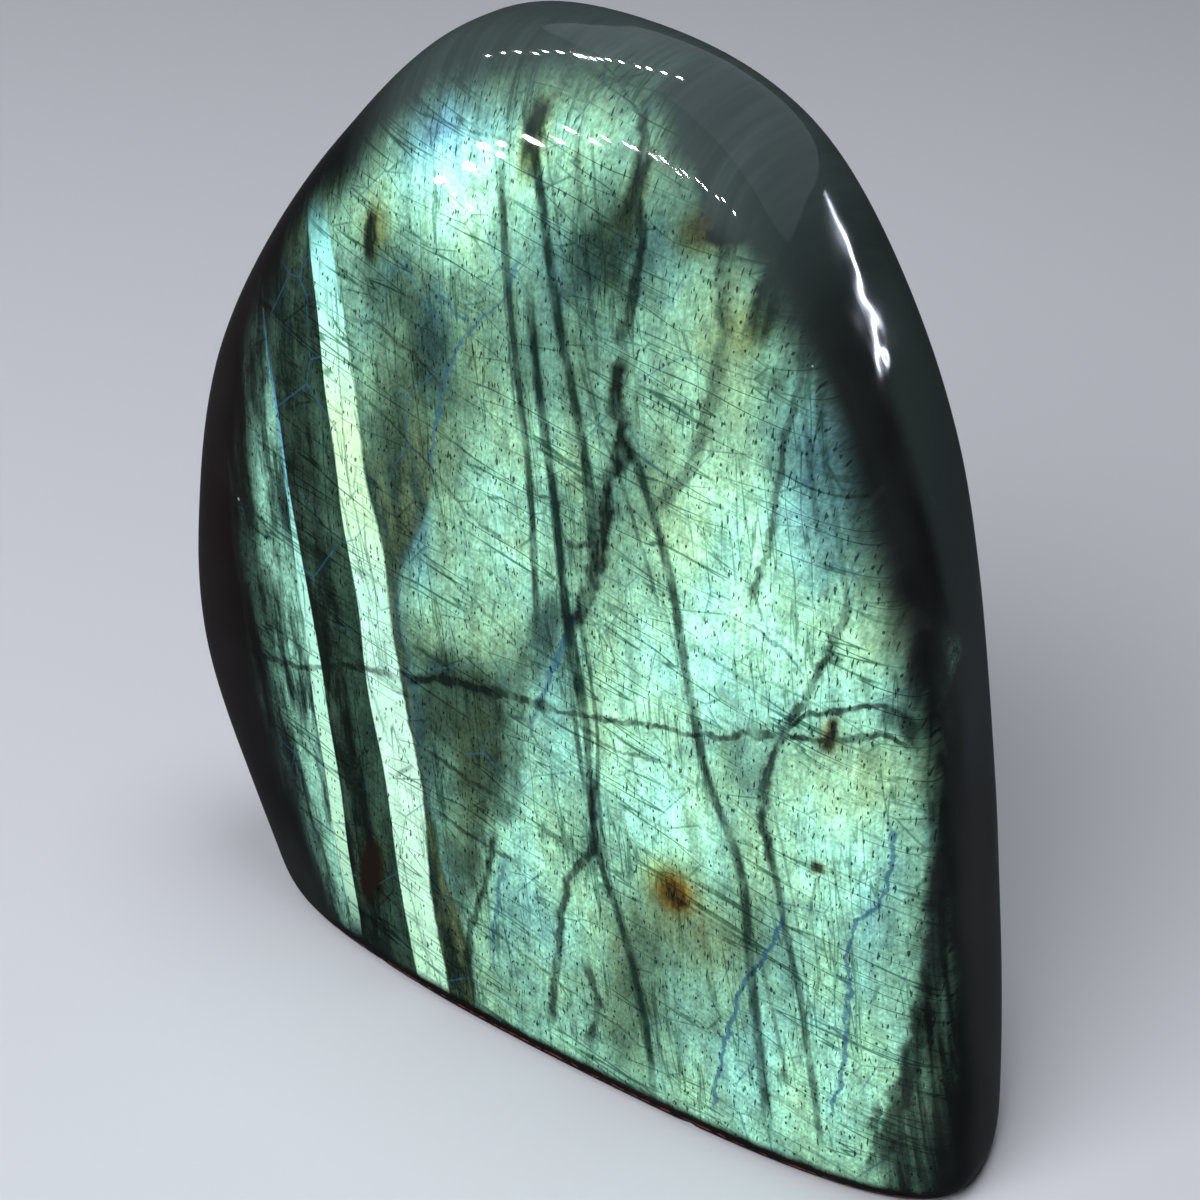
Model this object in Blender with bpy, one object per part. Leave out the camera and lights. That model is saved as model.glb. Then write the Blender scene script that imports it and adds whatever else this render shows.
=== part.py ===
"""A labradorite freeform: one piece of stone, ground to a rounded upright slab, polished, and
standing on a flat sawn base.

The form is described from a point inside the stone, its heart. The gauge of a direction is one
divided by the distance from the heart to the surface in that direction. It blends a rounded
slab, whose outline is the rim seen from the front, with flat facets, the base among them.
"""

import math
from typing import NamedTuple

import bmesh
import bpy
import numpy as np

MM = 0.001

# The widest face of the stone looks towards -Y, and its upright side is at +X.
HEART_HEIGHT = 61 * MM
FRONT_DEPTH = 18 * MM
BACK_DEPTH = 22 * MM

# How full each half of the slab is: 2 is an ellipse, more is a flatter face with a tighter rim.
FRONT_FULLNESS = 3.4
BACK_FULLNESS = 2.2

# The rim: its distance from the heart in mm at even steps, anticlockwise from straight down.
# The first and last few end below the base, which cuts them off.
RIM_START = math.radians(-90)
RIM_STEP = math.radians(20)
RIM = np.array([100, 100, 90, 72, 59.5, 53.5, 53, 56, 59, 60, 60.5, 55.5, 53, 54, 57, 63.5, 70, 83]) * MM

# The rounded edge of the base lies between these two heights. Everything below is flat.
FOOT_TOP = 4 * MM
FOOT_BOTTOM = 0.05 * MM

# The mesh: cells along one side of each face of the cube that it is projected from, cells up
# the flanks, cells in the rounded foot, and how far the cube is stretched to even the cells out.
CELLS_ACROSS = 20
FLANK_CELLS = 32
FOOT_CELLS = 4
STRETCH = np.array([48, 20, 62])


class Facet(NamedTuple):
    """A flat ground on the stone: the way that it faces, its distance, and how crisp its edge is."""

    turn: float  # degrees round the vertical axis: 0 faces -Y and 90 faces +X
    tilt: float  # degrees upwards
    distance: float  # from the heart
    crispness: float

    def normal(self):
        turn, tilt = math.radians(self.turn), math.radians(self.tilt)
        level = math.cos(tilt)
        return np.array([math.sin(turn) * level, -math.cos(turn) * level, math.sin(tilt)])


FACETS = (
    Facet(turn=110, tilt=11, distance=44.5 * MM, crispness=30),  # the upright right side
    Facet(turn=95, tilt=30, distance=46 * MM, crispness=20),  # the slope above it
    Facet(turn=60, tilt=59, distance=57.5 * MM, crispness=20),  # the crown's right
    Facet(turn=-80, tilt=39, distance=55 * MM, crispness=20),  # the left shoulder
    Facet(turn=176, tilt=6, distance=20.5 * MM, crispness=12),  # the back
    Facet(turn=232, tilt=14, distance=44 * MM, crispness=16),  # the back's left edge
    Facet(turn=0, tilt=-90, distance=HEART_HEIGHT, crispness=60),  # the sawn base
)

COLOUR = (0.062, 0.115, 0.092, 1.0)
ROUGHNESS = 0.08


def rim_radius(angle):
    """Distance from the heart to the rim at each angle, on a smooth closed curve through RIM."""
    place = np.mod((angle - RIM_START) / RIM_STEP, len(RIM))
    start = np.floor(place).astype(int)
    part = place - start
    before, here, after, beyond = (RIM[(start + step) % len(RIM)] for step in (-1, 0, 1, 2))
    slope, next_slope = (after - before) / 2, (beyond - here) / 2
    turn = 3 * (after - here) - 2 * slope - next_slope
    settle = 2 * (here - after) + slope + next_slope
    return here + part * (slope + part * (turn + part * settle))


def gauge(directions):
    """One over the distance from the heart to the surface along each unit direction."""
    across, depth, up = directions.T
    out = np.hypot(across, up)
    front = depth < 0
    thickness = np.where(front, FRONT_DEPTH, BACK_DEPTH)
    fullness = np.where(front, FRONT_FULLNESS, BACK_FULLNESS)
    slab = (out / rim_radius(np.arctan2(up, across))) ** fullness
    result = (slab + (np.abs(depth) / thickness) ** fullness) ** (1 / fullness)
    for facet in FACETS:
        flat = np.maximum(directions @ facet.normal(), 0) / facet.distance
        result = (result**facet.crispness + flat**facet.crispness) ** (1 / facet.crispness)
    return result


def surface(rays):
    """Points of the stone's surface along rays from the heart of a cube, stretched to its form."""
    directions = rays * STRETCH
    directions /= np.linalg.norm(directions, axis=-1, keepdims=True)
    flat = directions.reshape(-1, 3)
    points = flat / gauge(flat)[:, None]
    return points.reshape(rays.shape) + (0, 0, HEART_HEIGHT)


def cube_steps(cells):
    """Even steps of angle across a face of the cube, from -1 to 1."""
    return np.tan(np.linspace(-1, 1, cells + 1) * math.pi / 4)


def girdle():
    """The corners of a square, stepped anticlockwise from above, as X and Y of the cube."""
    steps = cube_steps(CELLS_ACROSS)[:-1]
    ones = np.ones_like(steps)
    sides = ((ones, steps), (-steps, ones), (-ones, -steps), (steps, -ones))
    return np.concatenate([np.stack(side, axis=1) for side in sides])


def level(ring, height):
    """How far up the cube each ray of the ring has to point to meet the surface at a height."""
    low, high = np.full(len(ring), -8.0), np.zeros(len(ring))
    for _ in range(40):
        middle = (low + high) / 2
        below = surface(np.column_stack([ring, middle]))[:, 2] < height
        low, high = np.where(below, middle, low), np.where(below, high, middle)
    return high


def rows_between(ring, low, high, cells):
    """Rings of points from one level of the cube to another, lowest first, evenly turned."""
    low, high = np.arctan(low), np.arctan(high)
    parts = np.linspace(0, 1, cells + 1)
    return [surface(np.column_stack([ring, np.tan(low + (high - low) * part)])) for part in parts]


def side_rows():
    """Rings of points from the flat base round the foot and up to the crown, lowest first."""
    ring = girdle()
    foot_top = level(ring, FOOT_TOP)
    foot = rows_between(ring, level(ring, FOOT_BOTTOM), foot_top, FOOT_CELLS)
    foot[0][:, 2] = 0
    return foot[:-1] + rows_between(ring, foot_top, np.ones(len(ring)), FLANK_CELLS)


def crown_points():
    """A square grid of points over the top of the stone, whose outside edge is the last ring."""
    steps = cube_steps(CELLS_ACROSS)
    x, y = np.meshgrid(steps, steps, indexing="ij")
    return surface(np.stack([x, y, np.ones_like(x)], axis=-1))


def centred(point_sets):
    """The same points, moved sideways so that the middle of their box is over the origin."""
    every = np.concatenate([points.reshape(-1, 3) for points in point_sets])
    middle = (every.min(axis=0) + every.max(axis=0)) / 2
    middle[2] = 0
    return [points - middle for points in point_sets]


def add_cells(mesh, rows, closed):
    """Adds a grid of quads between rows of points. A closed row's last point joins its first."""
    verts = [[mesh.verts.new(point) for point in row] for row in rows]
    count = len(verts[0])
    for lower, upper in zip(verts, verts[1:]):
        for here in range(count if closed else count - 1):
            there = (here + 1) % count
            mesh.faces.new((lower[here], lower[there], upper[there], upper[here]))
    return verts


def stone_mesh():
    """The closed mesh of the stone: flat base, rounded foot, flanks and crown."""
    *rows, crown = centred([*side_rows(), crown_points()])
    mesh = bmesh.new()
    rings = add_cells(mesh, rows, closed=True)
    mesh.faces.new(rings[0])
    add_cells(mesh, crown, closed=False)
    bmesh.ops.remove_doubles(mesh, verts=mesh.verts, dist=0.01 * MM)
    bmesh.ops.recalc_face_normals(mesh, faces=mesh.faces)
    data = bpy.data.meshes.new("stone")
    mesh.to_mesh(data)
    mesh.free()
    data.shade_smooth()
    data.set_sharp_from_angle(angle=math.radians(40))
    return data


def polished_labradorite():
    """Dark grey-green feldspar with a high polish."""
    material = bpy.data.materials.new("polished labradorite")
    material.use_nodes = True
    shader = material.node_tree.nodes["Principled BSDF"]
    shader.inputs["Base Color"].default_value = COLOUR
    shader.inputs["Roughness"].default_value = ROUGHNESS
    shader.inputs["Metallic"].default_value = 0.0
    return material


def main():
    for thing in list(bpy.data.objects):
        bpy.data.objects.remove(thing, do_unlink=True)
    stone = bpy.data.objects.new("stone", stone_mesh())
    stone.data.materials.append(polished_labradorite())
    bpy.context.scene.collection.objects.link(stone)


main()
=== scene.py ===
"""A labradorite freeform, dressed: a polished stone with a green flash, standing on its sawn base.

The stone's form is the frame's own, ground again with many more facets, and its finish is one
procedural material. Sizes in the form are in metres. Places in the finish are in millimetres on
the widest face: across it from the stone's middle, and up it from the base.
"""

from __future__ import annotations

import logging
import math
from collections.abc import Iterable, Sequence
from dataclasses import dataclass
from enum import Enum
from functools import reduce
from itertools import product

import bmesh
import bpy
import numpy as np
from mathutils import Matrix, Vector

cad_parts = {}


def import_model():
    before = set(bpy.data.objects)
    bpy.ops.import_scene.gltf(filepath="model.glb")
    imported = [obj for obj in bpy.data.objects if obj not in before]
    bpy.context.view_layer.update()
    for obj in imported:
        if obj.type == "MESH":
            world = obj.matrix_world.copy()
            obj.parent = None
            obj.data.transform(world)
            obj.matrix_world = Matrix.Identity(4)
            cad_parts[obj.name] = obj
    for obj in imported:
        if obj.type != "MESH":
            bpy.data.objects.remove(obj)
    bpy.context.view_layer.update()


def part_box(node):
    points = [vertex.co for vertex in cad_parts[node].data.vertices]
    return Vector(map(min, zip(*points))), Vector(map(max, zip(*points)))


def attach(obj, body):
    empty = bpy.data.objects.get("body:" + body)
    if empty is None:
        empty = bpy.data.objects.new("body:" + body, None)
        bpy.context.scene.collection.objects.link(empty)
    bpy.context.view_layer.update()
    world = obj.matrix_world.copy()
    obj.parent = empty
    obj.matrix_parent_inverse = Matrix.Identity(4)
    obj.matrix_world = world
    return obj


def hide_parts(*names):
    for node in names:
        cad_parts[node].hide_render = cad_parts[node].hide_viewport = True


MM = 0.001

# How far a vein's soft skirt and its dark core reach from its middle, in widths.
SKIRT = 1.75
CORE = 0.55

log = logging.getLogger("freeform")

Place = tuple[float, float]
Colour = tuple[float, float, float, float]
Stops = tuple[tuple[float, Colour], ...]


def paint(red: float, green: float, blue: float) -> Colour:
    """A colour for a shader, from its display values.

    Args:
        red: How much red it has, from 0 to 255.
        green: How much green.
        blue: How much blue.

    Returns:
        The linear colour, opaque.
    """
    values = np.array([red, green, blue]) / 255
    linear = np.where(values <= 0.04045, values / 12.92, ((values + 0.055) / 1.055) ** 2.4)
    return (*linear.tolist(), 1.0)


def toward(turn: float, tilt: float) -> Vector:
    """The unit vector that points this way.

    Args:
        turn: Degrees round the vertical axis: 0 points to -Y and 90 to +X.
        tilt: Degrees upwards.

    Returns:
        The unit vector.
    """
    round_axis, upwards = math.radians(turn), math.radians(tilt)
    level = math.cos(upwards)
    return Vector((math.sin(round_axis) * level, -math.cos(round_axis) * level, math.sin(upwards)))


def line_at(stops: Sequence[Place], along: np.ndarray) -> np.ndarray:
    """Where a smooth line through chosen stops is, at each of many places along it.

    Args:
        stops: Where it is at chosen places along, in order.
        along: The places along.

    Returns:
        Where the line is at each. Beyond its ends it stays level.
    """
    places, values = np.array(stops, dtype=float).T
    slopes = np.gradient(values, places)
    start = np.clip(np.searchsorted(places, along) - 1, 0, len(places) - 2)
    step = np.diff(places)[start]
    part = np.clip((along - places[start]) / step, 0, 1)
    turn = part * part * (3 - 2 * part)
    leave = part * (1 - part) ** 2 * slopes[start]
    arrive = part * part * (part - 1) * slopes[start + 1]
    return values[start] * (1 - turn) + values[start + 1] * turn + (leave + arrive) * step


def note_on_mesh(mesh: bpy.types.Mesh, name: str, values: Sequence[np.ndarray]) -> None:
    """Notes three numbers at each point of a mesh under a name, for its finish to read."""
    note = mesh.attributes.new(name, "FLOAT_VECTOR", "POINT")
    note.data.foreach_set("vector", np.column_stack(values).astype(np.float32).ravel())


def put(name: str, data: bpy.types.ID) -> bpy.types.Object:
    """Puts a new object into the scene.

    Args:
        name: Its name.
        data: Its mesh, light or camera.

    Returns:
        The object.
    """
    thing = bpy.data.objects.new(name, data)
    bpy.context.scene.collection.objects.link(thing)
    return thing


def cells_of(grid: np.ndarray) -> list[list[int]]:
    """The corners of the four-sided faces between points, from the points' numbers in rows."""
    corners = (grid[:-1, :-1], grid[:-1, 1:], grid[1:, 1:], grid[1:, :-1])
    return np.stack(corners, axis=-1).reshape(-1, 4).tolist()


def new_material(name: str) -> tuple[bpy.types.Material, bpy.types.Node]:
    """A new material with one shader.

    Args:
        name: Its name.

    Returns:
        The material and its shader.
    """
    material = bpy.data.materials.new(name)
    material.use_nodes = True
    return material, material.node_tree.nodes["Principled BSDF"]


# ----------------------------------------
# The form
# ----------------------------------------


@dataclass(frozen=True)
class GroundFlat:
    """A flat ground on the stone: which way it faces, its distance, and how crisp its edge is."""

    turn: float
    tilt: float
    distance: float
    crispness: float


@dataclass(frozen=True)
class StoneForm:
    """The ground and polished form: a rounded slab blended with flats, seen from its heart.

    The rim is how far the slab reaches from its heart at even steps, in millimetres. The cube is
    what the mesh's cells are laid out on, before it is stretched and drawn out to the surface.
    """

    heart_height: float = 61 * MM
    front_depth: float = 18 * MM
    back_depth: float = 22 * MM
    front_fullness: float = 3.4
    back_fullness: float = 2.2
    rim_start: float = math.radians(-90)
    rim_step: float = math.radians(20)
    rim: Sequence[float] = (
        100, 100, 90, 72, 59.5, 53.5, 53, 56, 59, 60, 60.5, 55.5, 53, 54, 57, 63.5, 70, 83,
    )
    foot_top: float = 4 * MM
    foot_bottom: float = 0.05 * MM
    stretch: Sequence[float] = (48, 20, 62)
    cells_across: int = 96
    flank_cells: int = 150
    foot_cells: int = 10
    lowest_ray: float = -8.0
    halvings: int = 40
    weld: float = 0.01 * MM
    hair: float = 0.004 * MM
    # The right side, the slope above it, the right of the crown, the left shoulder, the back, the
    # left edge of the back, and the sawn base.
    flats: Sequence[GroundFlat] = (
        GroundFlat(110, 11, 44.5 * MM, 30),
        GroundFlat(95, 30, 46 * MM, 20),
        GroundFlat(60, 59, 57.5 * MM, 20),
        GroundFlat(-80, 39, 55 * MM, 20),
        GroundFlat(176, 6, 20.5 * MM, 12),
        GroundFlat(232, 14, 44 * MM, 16),
        GroundFlat(0, -90, 61 * MM, 60),
    )

    def rim_radius(self, angle: np.ndarray) -> np.ndarray:
        """Distance from the heart to the rim at each angle, on a smooth closed curve.

        Args:
            angle: Angles round the heart, seen from the front.

        Returns:
            The distances.
        """
        rim = np.array(self.rim) * MM
        place = np.mod((angle - self.rim_start) / self.rim_step, len(rim))
        start = np.floor(place).astype(int)
        part = place - start
        before, here, after, beyond = (rim[(start + step) % len(rim)] for step in (-1, 0, 1, 2))
        slope, next_slope = (after - before) / 2, (beyond - here) / 2
        turn = 3 * (after - here) - 2 * slope - next_slope
        settle = 2 * (here - after) + slope + next_slope
        return here + part * (slope + part * (turn + part * settle))

    def gauge(self, directions: np.ndarray) -> np.ndarray:
        """One over the distance from the heart to the surface along each unit direction.

        Args:
            directions: Unit vectors, one a row.

        Returns:
            The values.
        """
        across, depth, up = directions.T
        out = np.hypot(across, up)
        front = depth < 0
        thickness = np.where(front, self.front_depth, self.back_depth)
        fullness = np.where(front, self.front_fullness, self.back_fullness)
        slab = (out / self.rim_radius(np.arctan2(up, across))) ** fullness
        result = (slab + (np.abs(depth) / thickness) ** fullness) ** (1 / fullness)
        for flat in self.flats:
            facing = np.maximum(directions @ np.array(toward(flat.turn, flat.tilt)), 0)
            pressed = facing / flat.distance
            result = (result**flat.crispness + pressed**flat.crispness) ** (1 / flat.crispness)
        return result

    def surface(self, rays: np.ndarray) -> np.ndarray:
        """Points of the surface along rays from the heart of a cube, stretched to the form.

        Args:
            rays: Points of the cube, in an array of any shape that ends in three.

        Returns:
            The surface's points, in an array of the same shape.
        """
        directions = rays * np.array(self.stretch)
        directions /= np.linalg.norm(directions, axis=-1, keepdims=True)
        flat = directions.reshape(-1, 3)
        points = flat / self.gauge(flat)[:, None]
        return points.reshape(rays.shape) + (0, 0, self.heart_height)

    def cube_steps(self) -> np.ndarray:
        """Even steps of angle across a face of the cube, from -1 to 1."""
        return np.tan(np.linspace(-1, 1, self.cells_across + 1) * math.pi / 4)

    def girdle(self) -> np.ndarray:
        """The corners of a square, stepped anticlockwise from above, as X and Y of the cube."""
        steps = self.cube_steps()[:-1]
        ones = np.ones_like(steps)
        sides = ((ones, steps), (-steps, ones), (-ones, -steps), (steps, -ones))
        return np.concatenate([np.stack(side, axis=1) for side in sides])

    def level(self, ring: np.ndarray, height: float) -> np.ndarray:
        """How far up the cube each ray of a ring points to meet the surface at a height.

        Args:
            ring: X and Y of the rays, one a row.
            height: The height of the surface there.

        Returns:
            Z of the rays.
        """
        low, high = np.full(len(ring), self.lowest_ray), np.zeros(len(ring))
        for _ in range(self.halvings):
            middle = (low + high) / 2
            below = self.surface(np.column_stack([ring, middle]))[:, 2] < height
            low, high = np.where(below, middle, low), np.where(below, high, middle)
        return high

    def rows_between(
        self, ring: np.ndarray, low: np.ndarray, high: np.ndarray, cells: int
    ) -> list[np.ndarray]:
        """Rings of points from one level of the cube to another, lowest first, evenly turned.

        Args:
            ring: X and Y of the rays, one a row.
            low: Z of the lowest ring's rays.
            high: Z of the highest ring's rays.
            cells: How many rows of cells lie between the two.

        Returns:
            The rings.
        """
        low, high = np.arctan(low), np.arctan(high)
        parts = np.linspace(0, 1, cells + 1)
        levels = [np.tan(low + (high - low) * part) for part in parts]
        return [self.surface(np.column_stack([ring, level])) for level in levels]

    def rings_and_crown(self) -> tuple[list[np.ndarray], np.ndarray]:
        """The stone's points.

        Returns:
            The rings from the base up to the crown, and the crown's square grid.
        """
        ring = self.girdle()
        foot_top = self.level(ring, self.foot_top)
        foot_bottom = self.level(ring, self.foot_bottom)
        foot = self.rows_between(ring, foot_bottom, foot_top, self.foot_cells)
        foot[0][:, 2] = 0
        flank = self.rows_between(ring, foot_top, np.ones(len(ring)), self.flank_cells)
        x, y = np.meshgrid(self.cube_steps(), self.cube_steps(), indexing="ij")
        return foot[:-1] + flank, self.surface(np.stack([x, y, np.ones_like(x)], axis=-1))

    def fitted(self, points: np.ndarray, box: tuple[Vector, Vector]) -> np.ndarray:
        """The points laid into the frame's own box for the stone, a hair inside it.

        Args:
            points: The points, one a row.
            box: The lowest and the highest corner of the frame's stone.

        Returns:
            The points in their place.
        """
        low, high = points.min(axis=0), points.max(axis=0)
        target_low = np.array(box[0]) + (self.hair, self.hair, 0)
        target_high = np.array(box[1]) - self.hair
        return target_low + (points - low) * (target_high - target_low) / (high - low)

    def build(self, name: str, box: tuple[Vector, Vector]) -> bpy.types.Object:
        """Builds the stone as one closed mesh.

        Args:
            name: The piece's name.
            box: The lowest and the highest corner of the frame's stone.

        Returns:
            The piece, linked to the scene.
        """
        rings, crown = self.rings_and_crown()
        count, rows = len(rings[0]), len(rings)
        side = self.cells_across + 1
        points = self.fitted(np.concatenate([*rings, crown.reshape(-1, 3)]), box)
        around = np.arange(rows * count).reshape(rows, count)
        above = np.arange(side * side).reshape(side, side) + rows * count
        base = list(range(count))[::-1]
        faces = cells_of(np.column_stack([around, around[:, 0]])) + [base] + cells_of(above.T)
        data = bpy.data.meshes.new(name)
        data.from_pydata(points.tolist(), [], faces)
        mesh = bmesh.new()
        mesh.from_mesh(data)
        bmesh.ops.remove_doubles(mesh, verts=mesh.verts, dist=self.weld)
        bmesh.ops.recalc_face_normals(mesh, faces=mesh.faces)
        mesh.to_mesh(data)
        mesh.free()
        data.shade_smooth()
        return put(name, data)


@dataclass(frozen=True)
class HandPolish:
    """The slight unevenness that a hand-held wheel leaves, and the small chips along the base.

    A chip starts where the noise rises above its start, and is deepest where it is full.
    """

    depth: float = 0.16 * MM
    wavelength: float = 17 * MM
    chip_depth: float = 0.45 * MM
    chip_width: float = 2.6 * MM
    chip_height: float = 2.2 * MM
    chip_start: float = 0.56
    chip_full: float = 0.78
    seed: int = 11
    sharp_edge: float = math.radians(50)

    def tree(self) -> bpy.types.NodeTree:
        """The Geometry Nodes tree, with its sizes as named inputs.

        Returns:
            The node group.
        """
        tree = bpy.data.node_groups.new("hand polish", "GeometryNodeTree")
        sockets = tree.interface
        sockets.new_socket("Geometry", in_out="INPUT", socket_type="NodeSocketGeometry")
        for label in ("Depth", "Wavelength", "Chip depth", "Chip width", "Chip height", "Seed"):
            sockets.new_socket(label, in_out="INPUT", socket_type="NodeSocketFloat")
        sockets.new_socket("Finish", in_out="INPUT", socket_type="NodeSocketMaterial")
        sockets.new_socket("Geometry", in_out="OUTPUT", socket_type="NodeSocketGeometry")
        given = tree.nodes.new("NodeGroupInput").outputs
        result = tree.nodes.new("NodeGroupOutput").inputs[0]
        place = Signal(tree.nodes.new("GeometryNodeInputPosition").outputs[0])
        normal = Signal(tree.nodes.new("GeometryNodeInputNormal").outputs[0])
        seed = Signal(given["Seed"])
        height = place.split()[2]

        wave = noise_4d(tree, place, Signal(given["Wavelength"]), seed, detail=1.0)
        clear_of_base = (height / Signal(given["Chip height"])).rise(1, 3)
        sunk = wave * Signal(given["Depth"]) * clear_of_base
        chips = noise_4d(tree, place, Signal(given["Chip width"]), seed + 5, detail=2.0)
        near_base = (height / Signal(given["Chip height"])).rise(1, 0)
        chipped = chips.rise(self.chip_start, self.chip_full) * Signal(given["Chip depth"])
        level_normal = normal.times((1, 1, 0))
        offset = normal.scaled(sunk * -1).plus(level_normal.scaled(chipped * near_base * -1))

        move = tree.nodes.new("GeometryNodeSetPosition")
        tree.links.new(given["Geometry"], move.inputs["Geometry"])
        tree.links.new(offset.socket, move.inputs["Offset"])
        realize = tree.nodes.new("GeometryNodeRealizeInstances")
        tree.links.new(move.outputs[0], realize.inputs[0])
        dress = tree.nodes.new("GeometryNodeSetMaterial")
        tree.links.new(realize.outputs[0], dress.inputs["Geometry"])
        tree.links.new(given["Finish"], dress.inputs["Material"])
        tree.links.new(dress.outputs[0], result)
        return tree

    def apply(self, piece: bpy.types.Object, finish: bpy.types.Material) -> None:
        """Polishes the piece and keeps the result as its plain mesh.

        Args:
            piece: The stone.
            finish: The material that its faces take.
        """
        tree = self.tree()
        modifier = piece.modifiers.new("hand polish", "NODES")
        modifier.node_group = tree
        values = {
            "Depth": self.depth,
            "Wavelength": self.wavelength,
            "Chip depth": self.chip_depth,
            "Chip width": self.chip_width,
            "Chip height": self.chip_height,
            "Seed": float(self.seed),
            "Finish": finish,
        }
        for item in tree.interface.items_tree:
            if item.in_out == "INPUT" and item.name in values:
                modifier[item.identifier] = values[item.name]
        graph = bpy.context.evaluated_depsgraph_get()
        polished = bpy.data.meshes.new_from_object(piece.evaluated_get(graph))
        piece.modifiers.remove(modifier)
        rough = piece.data
        piece.data = polished
        bpy.data.meshes.remove(rough)
        polished.name = piece.name
        polished.shade_smooth()
        polished.set_sharp_from_angle(angle=self.sharp_edge)


# ----------------------------------------
# Node arithmetic
# ----------------------------------------


def feed(socket: bpy.types.NodeSocket, value: Operand) -> None:
    """Gives a node's input a constant or the value of another node.

    Args:
        socket: The input.
        value: What it takes.
    """
    if isinstance(value, Signal):
        socket.id_data.links.new(value.socket, socket)
    else:
        socket.default_value = value


class Signal:
    """A number, vector or colour that varies over the stone, from one output of a node."""

    def __init__(self, socket: bpy.types.NodeSocket) -> None:
        """Keeps the output that carries the value."""
        self.socket = socket

    @property
    def tree(self) -> bpy.types.NodeTree:
        """The tree that the value belongs to."""
        return self.socket.id_data

    def _result(self, kind: str, operation: str, others: Sequence[Operand]) -> Signal:
        """The result of a math node on this value and others."""
        node = self.tree.nodes.new(kind)
        node.operation = operation
        for place, value in enumerate((self, *others)):
            feed(node.inputs[place], value)
        return Signal(node.outputs[0])

    def _math(self, operation: str, *others: Signal | float) -> Signal:
        """The result of a Math node on this number and others."""
        return self._result("ShaderNodeMath", operation, others)

    def _vector(self, operation: str, *others: Signal | Sequence[float]) -> Signal:
        """The result of a Vector Math node on this vector and others."""
        return self._result("ShaderNodeVectorMath", operation, others)

    def __add__(self, other: Signal | float) -> Signal:
        """The sum."""
        return self._math("ADD", other)

    def __sub__(self, other: Signal | float) -> Signal:
        """The difference."""
        return self._math("SUBTRACT", other)

    def __mul__(self, other: Signal | float) -> Signal:
        """The product."""
        return self._math("MULTIPLY", other)

    def __truediv__(self, other: Signal | float) -> Signal:
        """The quotient."""
        return self._math("DIVIDE", other)

    def power(self, exponent: float) -> Signal:
        """This number to a power."""
        return self._math("POWER", exponent)

    def size(self) -> Signal:
        """The number without its sign."""
        return self._math("ABSOLUTE")

    def larger(self, other: Signal | float) -> Signal:
        """The larger of two numbers."""
        return self._math("MAXIMUM", other)

    def smaller(self, other: Signal | float) -> Signal:
        """The smaller of two numbers."""
        return self._math("MINIMUM", other)

    def scaled_and_moved(self, factor: float | Signal, step: float | Signal) -> Signal:
        """This number times a factor plus a step."""
        return self._math("MULTIPLY_ADD", factor, step)

    def ramp(self, start: float, end: float) -> Signal:
        """A straight ramp from 0 at its start to 1 at its end, which goes on beyond them."""
        return self._range("LINEAR", start, end, 0, 1)

    def rise(self, start: float, end: float, low: float = 0, high: float = 1) -> Signal:
        """A smooth step from low at start to high at end, and the other way if start is above."""
        return self._range("SMOOTHSTEP", start, end, low, high)

    def _range(self, kind: str, start: float, end: float, low: float, high: float) -> Signal:
        """The result of a Map Range node."""
        node = self.tree.nodes.new("ShaderNodeMapRange")
        node.interpolation_type = kind
        node.clamp = False
        labels = ("Value", "From Min", "From Max", "To Min", "To Max")
        for label, value in zip(labels, (self, start, end, low, high)):
            feed(node.inputs[label], value)
        return Signal(node.outputs[0])

    def split(self) -> tuple[Signal, Signal, Signal]:
        """The three parts of this vector."""
        node = self.tree.nodes.new("ShaderNodeSeparateXYZ")
        feed(node.inputs[0], self)
        return tuple(Signal(output) for output in node.outputs)

    def scaled(self, factor: Signal | float) -> Signal:
        """This vector times a number."""
        node = self.tree.nodes.new("ShaderNodeVectorMath")
        node.operation = "SCALE"
        feed(node.inputs[0], self)
        feed(node.inputs["Scale"], factor)
        return Signal(node.outputs[0])

    def plus(self, other: Signal | Sequence[float]) -> Signal:
        """The sum of two vectors."""
        return self._vector("ADD", other)

    def minus(self, other: Signal | Sequence[float]) -> Signal:
        """The difference of two vectors."""
        return self._vector("SUBTRACT", other)

    def times(self, other: Signal | Sequence[float]) -> Signal:
        """The product of two vectors, part by part."""
        return self._vector("MULTIPLY", other)

    def times_each(self, factors: Signal | Sequence[float], step: Signal) -> Signal:
        """This vector with each part times its own factor, plus a step."""
        return self._vector("MULTIPLY_ADD", factors, step)

    def sizes(self) -> Signal:
        """This vector with each part without its sign."""
        return self._vector("ABSOLUTE")

    def larger_each(self, other: Signal) -> Signal:
        """The larger of two vectors, part by part."""
        return self._vector("MAXIMUM", other)

    def rise_each(
        self,
        start: Sequence[float],
        end: Sequence[float],
        low: Sequence[float],
        high: Sequence[float],
    ) -> Signal:
        """A smooth step of each part.

        Args:
            start: Where each step starts.
            end: Where it ends.
            low: Its value at and before the start.
            high: Its value at and after the end.

        Returns:
            The values on the steps.
        """
        node = self.tree.nodes.new("ShaderNodeMapRange")
        node.data_type = "FLOAT_VECTOR"
        node.interpolation_type = "SMOOTHSTEP"
        node.clamp = False
        for place, value in enumerate((self, start, end, low, high), start=6):
            feed(node.inputs[place], value)
        return Signal(node.outputs[1])


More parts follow.
